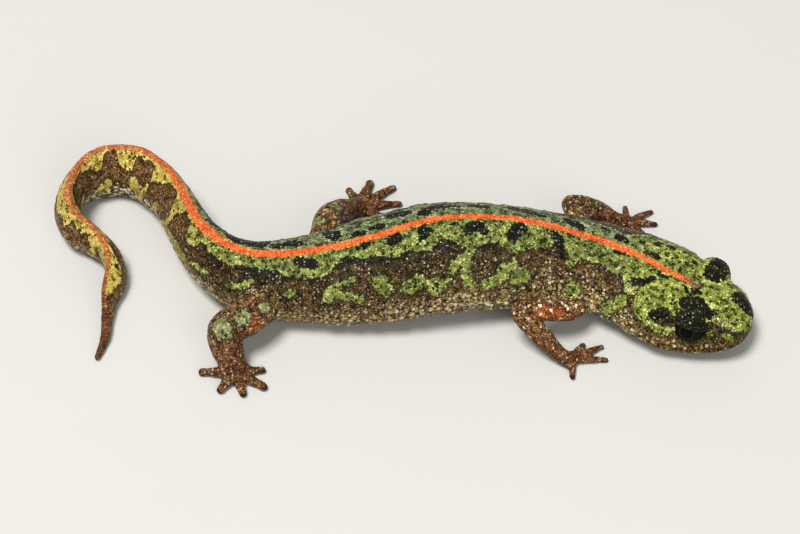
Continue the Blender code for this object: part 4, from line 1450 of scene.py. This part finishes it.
class Nodes:
    """One new material and its nodes."""

    def __init__(self, name: str) -> None:
        """Starts the material, with no nodes yet.

        Args:
            name: The material's name.
        """
        self.material = bpy.data.materials.new(name)
        self.material.use_nodes = True
        self.tree = self.material.node_tree
        self.tree.nodes.clear()

    def add(
        self, kind: str, settings: dict[str, object], feeds: dict[object, object]
    ) -> bpy.types.Node:
        """Adds a node.

        Args:
            kind: The node's type.
            settings: Its own choices, which are set first.
            feeds: A number, colour or socket for each input, by its name or place.

        Returns:
            The node.
        """
        node = self.tree.nodes.new(kind)
        for name, choice in settings.items():
            setattr(node, name, choice)
        for name, value in feeds.items():
            socket = node.inputs[name]
            if isinstance(value, Value):
                self.tree.links.new(value.socket, socket)
            else:
                socket.default_value = value
        return node

    def finish(self, surface: dict[str, object]) -> bpy.types.Material:
        """Closes the material with its surface.

        Args:
            surface: A number, colour or socket for each input of the surface's shader.

        Returns:
            The finished material.
        """
        shader = self.add("ShaderNodeBsdfPrincipled", {}, surface)
        self.add("ShaderNodeOutputMaterial", {}, {"Surface": Value(self, shader.outputs[0])})
        return self.material

    def maths(self, operation: str, first: "Value | float", second: "Value | float") -> Value:
        """Two numbers put through a Math node."""
        node = self.add("ShaderNodeMath", {"operation": operation}, {0: first, 1: second})
        return Value(self, node.outputs[0])

    def vector_maths(self, operation: str, first: Arrow, second: "Arrow | Triple") -> Arrow:
        """Two vectors put through a Vector Math node."""
        node = self.add("ShaderNodeVectorMath", {"operation": operation}, {0: first, 1: second})
        return Arrow(self, node.outputs[0])

    def mix(self, share: "Value | float", first: "Value | Colour", second: "Value | Colour") -> Value:
        """A colour between two others.

        Args:
            share: How much of the second colour it has, from 0 to 1.
            first: One colour.
            second: The other.

        Returns:
            The mixed colour.
        """
        first, second = ((*c, 1.0) if isinstance(c, tuple) else c for c in (first, second))
        node = self.add("ShaderNodeMix", {"data_type": "RGBA"}, {0: share, 6: first, 7: second})
        return Value(self, node.outputs[2])

    def number(self, name: str) -> Value:
        """A number kept on the mesh."""
        node = self.add("ShaderNodeAttribute", {"attribute_name": name}, {})
        return Value(self, node.outputs["Fac"])

    def direction(self, name: str) -> Arrow:
        """A vector kept on the mesh."""
        node = self.add("ShaderNodeAttribute", {"attribute_name": name}, {})
        return Arrow(self, node.outputs["Vector"])

    def place(self) -> Arrow:
        """The place on the object, in millimetres."""
        node = self.add("ShaderNodeTexCoord", {}, {})
        return Arrow(self, node.outputs["Object"]) * (1 / MM)

    def noise(self, place: Arrow, size: float, detail: float = 2.0) -> Value:
        """Soft lumps.

        Args:
            place: The place on the object, in millimetres.
            size: How far apart the lumps are.
            detail: How many finer lumps lie on them.

        Returns:
            A number from 0 to 1.
        """
        feeds = {"Vector": place, "Scale": 1 / size, "Detail": detail}
        node = self.add("ShaderNodeTexNoise", {}, feeds)
        return Value(self, node.outputs["Fac"])

    def wobble(self, place: Arrow, size: float, reach: float) -> Arrow:
        """A small push, other from place to place, that makes straight edges uneven."""
        node = self.add("ShaderNodeTexNoise", {}, {"Vector": place, "Scale": 1 / size, "Detail": 1.0})
        return (Arrow(self, node.outputs["Color"]) - (0.5, 0.5, 0.5)) * (2 * reach)

    def cell_edge(self, place: Arrow, size: float) -> Value:
        """The grooves between grains.

        Args:
            place: The place on the object, in millimetres.
            size: How far apart the grains are.

        Returns:
            Millimetres from the nearest groove.
        """
        feeds = {"Vector": place, "Scale": 1 / size}
        node = self.add("ShaderNodeTexVoronoi", {"feature": "DISTANCE_TO_EDGE"}, feeds)
        return Value(self, node.outputs["Distance"]) * size

    def cells(self, place: Arrow, size: float) -> tuple[Value, Value, Arrow]:
        """Round grains scattered over the surface.

        Args:
            place: The place on the object, in millimetres.
            size: How far apart the grains are.

        Returns:
            The distance to the nearest grain's middle, its own number from 0 to 1, and
            the place of its middle.
        """
        node = self.add("ShaderNodeTexVoronoi", {}, {"Vector": place, "Scale": 1 / size})
        split = self.add("ShaderNodeSeparateColor", {}, {"Color": Value(self, node.outputs["Color"])})
        distance = Value(self, node.outputs["Distance"]) * size
        return distance, Value(self, split.outputs["Red"]), Arrow(self, node.outputs["Position"])


@dataclass(frozen=True)
class Shades:
    """Colours of one kind of skin: between its grains, over them, and at their tips; darker between
    them and paler at the tips, partly as painted shade and highlight.
    """

    deep: "Colour | Value"
    mid: "Colour | Value"
    pale: "Colour | Value"

    def towards(self, nodes: Nodes, share: "Value | float", other: "Shades") -> "Shades":
        """These shades changed into others by a share from 0 to 1."""
        pairs = zip(vars(self).values(), vars(other).values())
        return Shades(*(nodes.mix(share, mine, theirs) for mine, theirs in pairs))

    def over(self, nodes: Nodes, tone: Value) -> Value:
        """The colour of each grain, from its tone of 0 to 1."""
        low = nodes.mix(tone.step(0.12, 0.55), self.deep, self.mid)
        return nodes.mix(tone.step(0.62, 1.0), low, self.pale)


@dataclass(frozen=True)
class SkinFinish:
    """Moist, finely granular skin, marbled green on black and brown."""

    black: Shades = Shades((0.003, 0.003, 0.002), (0.014, 0.015, 0.009), (0.085, 0.09, 0.05))
    brown: Shades = Shades((0.01, 0.006, 0.003), (0.135, 0.08, 0.028), (0.3, 0.2, 0.08))
    flank: Shades = Shades((0.02, 0.011, 0.004), (0.35, 0.235, 0.088), (0.64, 0.52, 0.27))
    belly: Shades = Shades((0.03, 0.018, 0.01), (0.24, 0.15, 0.07), (0.55, 0.42, 0.25))
    tail: Shades = Shades((0.03, 0.012, 0.005), (0.24, 0.125, 0.046), (0.52, 0.33, 0.145))
    leg: Shades = Shades((0.02, 0.009, 0.004), (0.23, 0.11, 0.038), (0.46, 0.28, 0.12))
    digit: Shades = Shades((0.035, 0.013, 0.006), (0.19, 0.08, 0.03), (0.46, 0.28, 0.14))
    leg_green: Shades = Shades((0.03, 0.03, 0.01), (0.19, 0.2, 0.082), (0.46, 0.48, 0.25))
    tail_pale: Shades = Shades((0.02, 0.012, 0.006), (0.15, 0.1, 0.045), (0.4, 0.32, 0.18))
    stripe_tip: Shades = Shades((0.05, 0.015, 0.006), (0.2, 0.06, 0.022), (0.45, 0.22, 0.1))
    flush: Shades = Shades((0.12, 0.025, 0.008), (0.42, 0.1, 0.02), (0.7, 0.4, 0.16))
    lip: Shades = Shades((0.025, 0.012, 0.004), (0.19, 0.105, 0.03), (0.52, 0.44, 0.15))
    head_green: Shades = Shades((0.014, 0.02, 0.004), (0.21, 0.245, 0.04), (0.66, 0.72, 0.25))
    back_green: Shades = Shades((0.012, 0.017, 0.004), (0.16, 0.187, 0.043), (0.52, 0.57, 0.2))
    # A greyer, paler green for the left side, standing for painted sheen and shade of that side
    left_sheen_green: Shades = Shades((0.012, 0.017, 0.006), (0.14, 0.172, 0.068), (0.44, 0.5, 0.3))
    tail_green: Shades = Shades((0.12, 0.075, 0.015), (0.5, 0.395, 0.08), (0.82, 0.66, 0.24))
    stripe: Shades = Shades((0.42, 0.065, 0.018), (0.92, 0.195, 0.045), (1.0, 0.5, 0.2))
    stripe_tail: Shades = Shades((0.26, 0.07, 0.025), (0.58, 0.21, 0.068), (0.86, 0.48, 0.23))
    stripe_end: Shades = Shades((0.06, 0.03, 0.02), (0.3, 0.16, 0.09), (0.55, 0.36, 0.22))
    cream: Colour = (0.8, 0.7, 0.44)
    # Pale specks: partly the grains' own pale tips, partly painted glints of moist skin
    speck_and_glint: Colour = (0.62, 0.6, 0.46)
    head_speck: Colour = (0.4, 0.46, 0.17)
    # Near black, for the pits and for the painted shade in folds, along the mouth and at the lids' rims
    pit_and_shade: Colour = (0.008, 0.009, 0.004)
    grain_size: float = 0.35
    speck_size: float = 0.46
    pin_size: float = 0.72
    shoulder: tuple[float, ...] = (11.0, 17.0, 30.0, 38.0)
    tail_root: Pair = (72.0, 90.0)
    roughness: Pair = (0.22, 0.3)
    relief: float = 0.06

    def ground(self, n: Nodes, girth: Value, along: Value, broad: Value) -> Shades:
        """The dark skin between the markings, from the ridge to the belly.

        Args:
            n: The material's nodes.
            girth: Share of the way from the ridge to the belly.
            along: Distance from the snout.
            broad: Soft lumps that make the bounds uneven.

        Returns:
            Its shades.
        """
        limb, digit, flush = (n.number(name) for name in ("limb", "digit", "flush"))
        uneven = girth + broad * 0.3 - 0.15 + along.between(*self.shoulder) * 0.12
        ground = self.black.towards(n, uneven.step(0.13, 0.34), self.brown)
        ground = ground.towards(n, uneven.step(0.42, 0.6), self.flank)
        ground = ground.towards(n, girth.step(0.78, 0.9), self.belly)
        ground = ground.towards(n, along.step(74.0, 90.0) * 0.9, self.tail)
        low = (girth + broad * 0.2 - 0.1).step(0.53, 0.62)
        ground = ground.towards(n, low * along.between(74.0, 78.0, 108.0, 124.0), self.tail_pale)
        ground = ground.towards(n, along.step(13.5, 10.5) * girth.step(0.42, 0.52), self.lip)
        ground = ground.towards(n, n.number("ink"), self.black)
        ground = ground.towards(n, limb, self.leg).towards(n, flush, self.flush)
        return ground.towards(n, digit, self.digit)

    def green(self, n: Nodes, girth: Value, along: Value, across: Value) -> Shades:
        """The green of the markings, yellower on the head and on the tail, and greyer and paler near
        the ridge on the left side, as painted sheen and shade.

        Args:
            n: The material's nodes.
            girth: Share of the way from the ridge to the belly.
            along: Distance from the snout.
            across: Distance from the ridge, less than 0 on the left.

        Returns:
            Its shades.
        """
        green = self.back_green.towards(n, along.step(20.0, 12.0), self.head_green)
        green = green.towards(n, girth.step(0.3, 0.55) * 0.5, self.head_green)
        green = green.towards(n, along.step(72.0, 92.0), self.tail_green)
        # Painted sheen and shade: near the ridge, the left side's green turns greyer and paler
        left_sheen_share = across.step(0.3, -1.5) * along.between(15.0, 24.0, 76.0, 100.0)
        left_sheen_share = left_sheen_share * girth.step(0.55, 0.3)
        return green.towards(n, left_sheen_share, self.left_sheen_green).towards(n, n.number("limb"), self.leg_green)

    def material(self) -> bpy.types.Material:
        """Puts the skin's colours and grain together.

        Returns:
            The finished material.
        """
        n = Nodes("marbled skin")
        flat = n.place()
        place = flat + n.wobble(flat, 0.26, 0.2)
        along, girth, across = n.number("along"), n.number("girth"), n.number("across")
        names = ("tip", "wart", "fold_shade", "mouth", "limb", "digit")
        tip, wart, fold_shade, lid_and_mouth_shade, limb, digit = (n.number(name) for name in names)

        # The tone of each grain: partly random, partly lighter on its top and darker in the grooves, as
        # painted highlight and shade
        gap, own, middle = n.cells(place, self.grain_size)
        speck_gap, speck_own, _ = n.cells(place, self.speck_size)
        pin_gap, pin_own, _ = n.cells(place, self.pin_size)
        broad, patchy, fine = (n.noise(place, size) for size in (3.0, 0.8, 0.3))
        dome = n.cell_edge(place, self.grain_size).step(0.0, 0.1) * gap.step(0.31, 0.1)
        tone = dome * (own * 0.5 + 0.24) + (fine - 0.5) * 0.9 + (patchy - 0.5) * 0.9
        tone = tone + wart * 0.3 + 0.17

        # The dark skin, with its specks, partly painted glints, and cream dots
        ground = self.ground(n, girth, along, broad).over(n, tone)
        tail = along.step(*self.tail_root)
        # Pale specks: partly pale grain tips, partly painted glints
        specks_and_glints = speck_gap.step(0.16, 0.06) * speck_own.step(0.25, 1.0) * (1 - tip) * (1 - tail * 0.6)
        ground = n.mix(specks_and_glints, ground, n.mix(along.step(16.0, 12.0), self.speck_and_glint, self.head_speck))
        low = (girth + along.between(*self.shoulder) * 0.16).step(0.42, 0.58)
        ground = n.mix(wart.step(0.4, 0.8) * low * 0.85, ground, self.cream)
        cream = pin_gap.step(0.27, 0.18) * pin_own.step(0.4, 0.75)
        cream = cream * (low + limb * 0.4) * (1 - tail) * (1 - digit)
        ground = n.mix(cream * 0.9, ground, self.cream)
        rim = (girth + along.step(90.0, 80.0) * 0.07).step(0.56, 0.64) * girth.step(0.96, 0.88)
        rim = rim * along.between(72.0, 77.0, 112.0, 126.0)
        ground = n.mix(pin_gap.step(0.35, 0.26) * rim * 0.9, ground, self.cream)
        ground = n.mix(tip * 0.85, ground, self.pit_and_shade)

        # The green, with dark pits between its grains
        lively = n.noise(place, 1.5) * 0.7 - 0.35
        reach = n.direction("slope").dot(middle - place)
        depth = n.number("green") + reach * 0.8 + n.noise(place, 1.1) * 0.9 - 0.45 + own * 0.2 - 0.1
        ground = n.mix(depth.step(-1.0, -0.15) * girth.step(0.6, 0.4) * 0.55, ground, self.pit_and_shade)
        # Here too the grain tops are lighter and the grooves darker: partly painted highlight and shade
        bright = dome * (own * 0.4 + 0.2) + (fine - 0.5) * 0.6 + (patchy - 0.5) * 1.5
        bright = bright + lively + 0.32
        leaf = self.green(n, girth, along, across).over(n, bright + depth.step(0.9, 0.3) * 0.14)
        pits = pin_gap.step(0.28, 0.17) * pin_own.step(0.1, 0.2)
        leaf = n.mix(pits * 0.95, leaf, self.pit_and_shade)
        leaf = n.mix(speck_gap.step(0.15, 0.08) * speck_own.step(0.35, 0.25) * 0.85, leaf, self.pit_and_shade)
        # Pale flecks on the left side's green: painted glints and sheen
        leaf = n.mix(specks_and_glints * across.step(0.4, -0.6) * 0.4, leaf, self.speck_and_glint)
        skin = n.mix(depth.step(-0.03, 0.03), ground, leaf)
        skin = n.mix(n.number("pale") * tone.step(0.35, 0.7) * 0.6, skin, self.cream)

        # The stripe, and painted shade in the folds, along the mouth and at the rims of the lids
        stripe = n.number("stripe") + own * 0.3 - 0.15 + n.noise(place, 0.7) * 0.4 - 0.2
        flame = self.stripe.towards(n, along.step(11.0, 8.5), self.stripe_end)
        flame = flame.towards(n, along.step(78.0, 100.0), self.stripe_tail)
        flame = flame.towards(n, along.step(124.0, 134.0), self.stripe_tip)
        skin = n.mix(stripe.step(-0.04, 0.04), skin, flame.over(n, tone))
        # Painted shade: the folds are darkened towards near black
        skin = n.mix(fold_shade * 0.6, skin, self.pit_and_shade)
        # Painted shade along the mouth and painted shadow at the rims of the lids
        skin = n.mix(lid_and_mouth_shade, skin, self.pit_and_shade)

        height = dome + gap.step(0.3, 0.0) * 0.5 + speck_gap.step(0.2, 0.0) * 0.4
        feeds = {"Strength": 1.0, "Distance": self.relief * MM, "Height": height}
        smoothest, span = self.roughness
        surface = {
            "Base Color": skin,
            "Roughness": fine * span + smoothest,
            "Normal": Value(n, n.add("ShaderNodeBump", {}, feeds).outputs["Normal"]),
            "Specular IOR Level": 0.05,
        }
        return n.finish(surface)


@dataclass(frozen=True)
class EyeFinish:
    """A glossy dark eye with a thin gold ring round the pupil; its near black iris and dim gold are
    partly its own colour, partly painted shade of the lids.
    """

    pupil: Colour = (0.002, 0.002, 0.002)
    # Near black iris and dim gold: partly the eye's own colour, partly painted shade under the lids
    iris: Colour = (0.005, 0.004, 0.003)
    gold: Colour = (0.05, 0.028, 0.009)
    pupil_edge: float = 0.46
    ring_width: float = 0.04
    back_edge: Pair = (1.15, 1.4)

    def material(self) -> bpy.types.Material:
        """Puts the eye's colours together.

        Returns:
            The finished material.
        """
        n = Nodes("eye")
        angle = n.number("from_pupil")
        dust = n.noise(n.place(), 0.16).step(0.52, 0.7) * n.number("off_level").step(0.2, 0.55)
        iris = n.mix(dust * 0.3, self.iris, self.gold)
        edge, rim = self.pupil_edge, self.pupil_edge + self.ring_width
        eye = n.mix(angle.between(edge - 0.02, edge, rim - 0.03, rim), iris, self.gold)
        eye = n.mix(angle.step(edge, edge - 0.02), eye, self.pupil)
        eye = n.mix(angle.step(*self.back_edge), eye, self.pupil)
        surface = {
            "Base Color": eye,
            "Roughness": 0.3,
            "Specular IOR Level": 0.0,
            "Coat Weight": 0.1,
            "Coat Roughness": 0.03,
        }
        return n.finish(surface)


@dataclass
class Skin:
    """The whole animal's skin, fused from its parts and dressed."""

    body: Body
    limbs: tuple[Limb, ...]
    eyes: tuple[Eye, Eye]
    relief: Relief
    markings: Markings
    grain: float = 0.22
    head_end: float = 17.5
    head_reach: float = 8.0
    fillet: float = 1.1
    temple: float = 0.9
    soften_step: float = 0.6
    fillet_rounds: int = 24
    temple_rounds: int = 70
    polish_rounds: int = 4
    # Width of the painted shade along the line of the mouth
    mouth_line: float = 0.14
    floor_lift: float = 0.02

    def build(self) -> bpy.types.Object:
        """Models the skin and keeps its markings on the mesh.

        Returns:
            The skin, in metres.
        """
        shells = [self.body.shell(), *(eye.lid_ball() for eye in self.eyes)]
        for limb in self.limbs:
            shells += limb.shells(self.body)
            log.info("%s leg has %d digits", limb.name, len(limb.digits))
        mesh = fuse(shells, self.grain)
        self.refine_head(mesh)
        flesh = Flesh(mesh)
        flesh.polish(self.polish_rounds)
        chart = Chart(self.body, self.limbs)
        place = chart.read(flesh.points)
        crease = np.maximum(place.off_body, place.off_limb)
        near = smooth_step(self.fillet, 0.3 * self.fillet, crease)
        flesh.soften(self.soften_step * near, self.fillet_rounds)
        temple = np.minimum(*(eye.crease_gap(flesh.points) for eye in self.eyes))
        temple = np.maximum(temple, place.off_body)
        near = smooth_step(self.temple, 0.2, temple)
        flesh.soften(self.soften_step * near, self.temple_rounds)
        # Shapes the lids; rim is how much painted shadow each point gets along their rims
        rim = sum(eye.shape_lids(flesh) for eye in self.eyes)
        wart, fold_shade = self.relief.shape(flesh, place)
        flesh.points[:, 2] = np.maximum(flesh.points[:, 2], self.floor_lift)
        self.keep_marks(flesh, place, wart, fold_shade, rim)
        flesh.put_back(MM)
        mesh.name = "newt_skin"
        mesh.shade_smooth()
        return add_object("newt_skin", mesh)

    def refine_head(self, mesh: bpy.types.Mesh) -> None:
        """Halves the size of the faces of the head.

        Args:
            mesh: The skin, which is changed.
        """
        foot, forward, _ = (Vector(way) for way in self.body.directions(self.head_end))
        start = foot.x - self.head_reach
        shape = bmesh.new()
        shape.from_mesh(mesh)
        ahead = {v for v in shape.verts if (v.co - foot).dot(forward) > 0 and v.co.x > start}
        edges = [e for e in shape.edges if e.verts[0] in ahead and e.verts[1] in ahead]
        bmesh.ops.subdivide_edges(shape, edges=edges, cuts=1, use_grid_fill=True)
        bmesh.ops.triangulate(shape, faces=[f for f in shape.faces if len(f.verts) > 4])
        shape.to_mesh(mesh)
        shape.free()

    def keep_marks(
        self, flesh: Flesh, place: Place, wart: Numbers, fold_shade: Numbers, rim: Numbers
    ) -> None:
        """Stores where the colours go on the mesh.

        Args:
            flesh: The modelled skin.
            place: Where each of its points is.
            wart: How much of a wart each point is.
            fold_shade: How deep in a fold it is, as its share of painted shade.
            rim: How much of a lid's rim it is, for the painted shadow there.
        """
        marks = self.markings
        green = marks.green_depth(flesh.points, place)
        # Painted shade along the mouth and painted shadow at the lids' rims, both kept as "mouth"
        mouth = bell(self.relief.mouth_gap(flesh.points, place), self.mouth_line)
        mouth = mouth * (1 - place.limb)
        places = ("along", "across", "girth", "limb", "digit", "tip")
        numbers = {name: getattr(place, name) for name in places} | {
            "wart": wart,
            "fold_shade": fold_shade,
            "green": green,
            "stripe": marks.stripe_depth(place),
            "flush": marks.flush(flesh.points, place),
            "pale": marks.share_in(marks.pale, place, marks.pale_edge),
            "ink": marks.share_in(marks.black, place, marks.ink_edge),
            "mouth": np.maximum(mouth, rim),
        }
        for name, values in numbers.items():
            keep_number(flesh.mesh, name, values)
        slope = flesh.slope(green)
        length = np.linalg.norm(slope, axis=1, keepdims=True)
        slope = slope / np.maximum(length, 1.0)
        layer = flesh.mesh.attributes.new("slope", "FLOAT_VECTOR", "POINT")
        layer.data.foreach_set("vector", slope.astype(np.float32).ravel())


@dataclass
class Studio:
    """A plain pale floor, soft lights and the camera."""

    floor_size: float = 6.0
    floor_colour: Colour = (0.5, 0.5, 0.49)
    aim: Triple = (0.4, 3.44, 0.0)
    distance: float = 312.99
    elevation: float = 50.0
    lens: float = 100.0
    room_colour: Colour = (0.84, 0.83, 0.81)
    room_strength: float = 0.36

    def build_floor(self) -> None:
        """The floor, which isn't part of the newt."""
        shape = bmesh.new()
        bmesh.ops.create_grid(shape, x_segments=1, y_segments=1, size=self.floor_size / 2)
        mesh = bpy.data.meshes.new("floor")
        shape.to_mesh(mesh)
        shape.free()
        n = Nodes("floor")
        darker = tuple(0.9 * c for c in self.floor_colour)
        shade = n.mix(n.noise(n.place(), 40.0) * 0.25, self.floor_colour, darker)
        mesh.materials.append(n.finish({"Base Color": shade, "Roughness": 0.85}))
        floor = add_object("floor", mesh)

    def add_light(
        self, name: str, place: Triple, size: float, power: float, colour: Colour
    ) -> None:
        """One soft square light that shines on the newt.

        Args:
            name: What the light is for.
            place: Where it hangs, in metres.
            size: Length of its side, in metres.
            power: Its power in watts.
            colour: Its colour.
        """
        light = bpy.data.lights.new(name, "AREA")
        light.size, light.energy, light.color = size, power, colour
        lamp = add_object(name, light)
        lamp.location = place
        lamp.rotation_mode = "QUATERNION"
        lamp.rotation_quaternion = (-Vector(place)).to_track_quat("-Z", "Y")

    def light(self) -> None:
        """Key, fill and back light, and a pale room."""
        self.add_light("key", (-0.26, -0.2, 1.0), 0.34, 14.2, (1.0, 0.97, 0.92))
        self.add_light("fill", (0.4, -0.9, 0.6), 0.8, 5.4, (1.0, 0.99, 0.97))
        self.add_light("back", (0.1, 0.9, 0.6), 0.7, 0.9, (1.0, 1.0, 1.0))
        world = bpy.data.worlds.new("room")
        world.use_nodes = True
        background = world.node_tree.nodes["Background"]
        background.inputs["Color"].default_value = (*self.room_colour, 1.0)
        background.inputs["Strength"].default_value = self.room_strength
        bpy.context.scene.world = world
        bpy.context.scene.view_settings.view_transform = "Standard"

    def set_camera(self) -> None:
        """The camera, at the height and distance that the newt is seen from."""
        tilt = math.radians(self.elevation)
        aim = Vector(self.aim) * MM
        back = Vector((0.0, -math.cos(tilt), math.sin(tilt)))
        view = bpy.data.cameras.new("view")
        view.lens = self.lens
        view.clip_start, view.clip_end = 0.01, 10.0
        camera = add_object("view", view)
        camera.location = aim + back * self.distance * MM
        camera.rotation_mode = "QUATERNION"
        camera.rotation_quaternion = (-back).to_track_quat("-Z", "Y")
        bpy.context.scene.camera = camera


def main() -> None:
    """Builds the studio, the eyes and the skin."""
    logging.basicConfig(level=logging.INFO, format="%(name)s: %(message)s")
    studio = Studio()
    studio.set_camera()
    studio.light()
    studio.build_floor()
    log.info("studio is set")
    body = Body()
    eyes = (Eye(Side.LEFT, body), Eye(Side.RIGHT, body))
    eye_material = EyeFinish().material()
    for eye, node in zip(eyes, ("left_eye", "right_eye")):
        eyeball = eye.build()
        eyeball.data.materials.append(eye_material)
        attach(eyeball, "root")
        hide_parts(node)
        log.info("%s has %d faces", eyeball.name, len(eyeball.data.polygons))
    skin = Skin(body, LIMBS, eyes, Relief(body), Markings()).build()
    skin.data.materials.append(SkinFinish().material())
    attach(skin, "root")
    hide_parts(*(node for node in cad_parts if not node.endswith("_eye")))
    log.info("%s has %d faces", skin.name, len(skin.data.polygons))


if __name__ == "__main__":
    main()
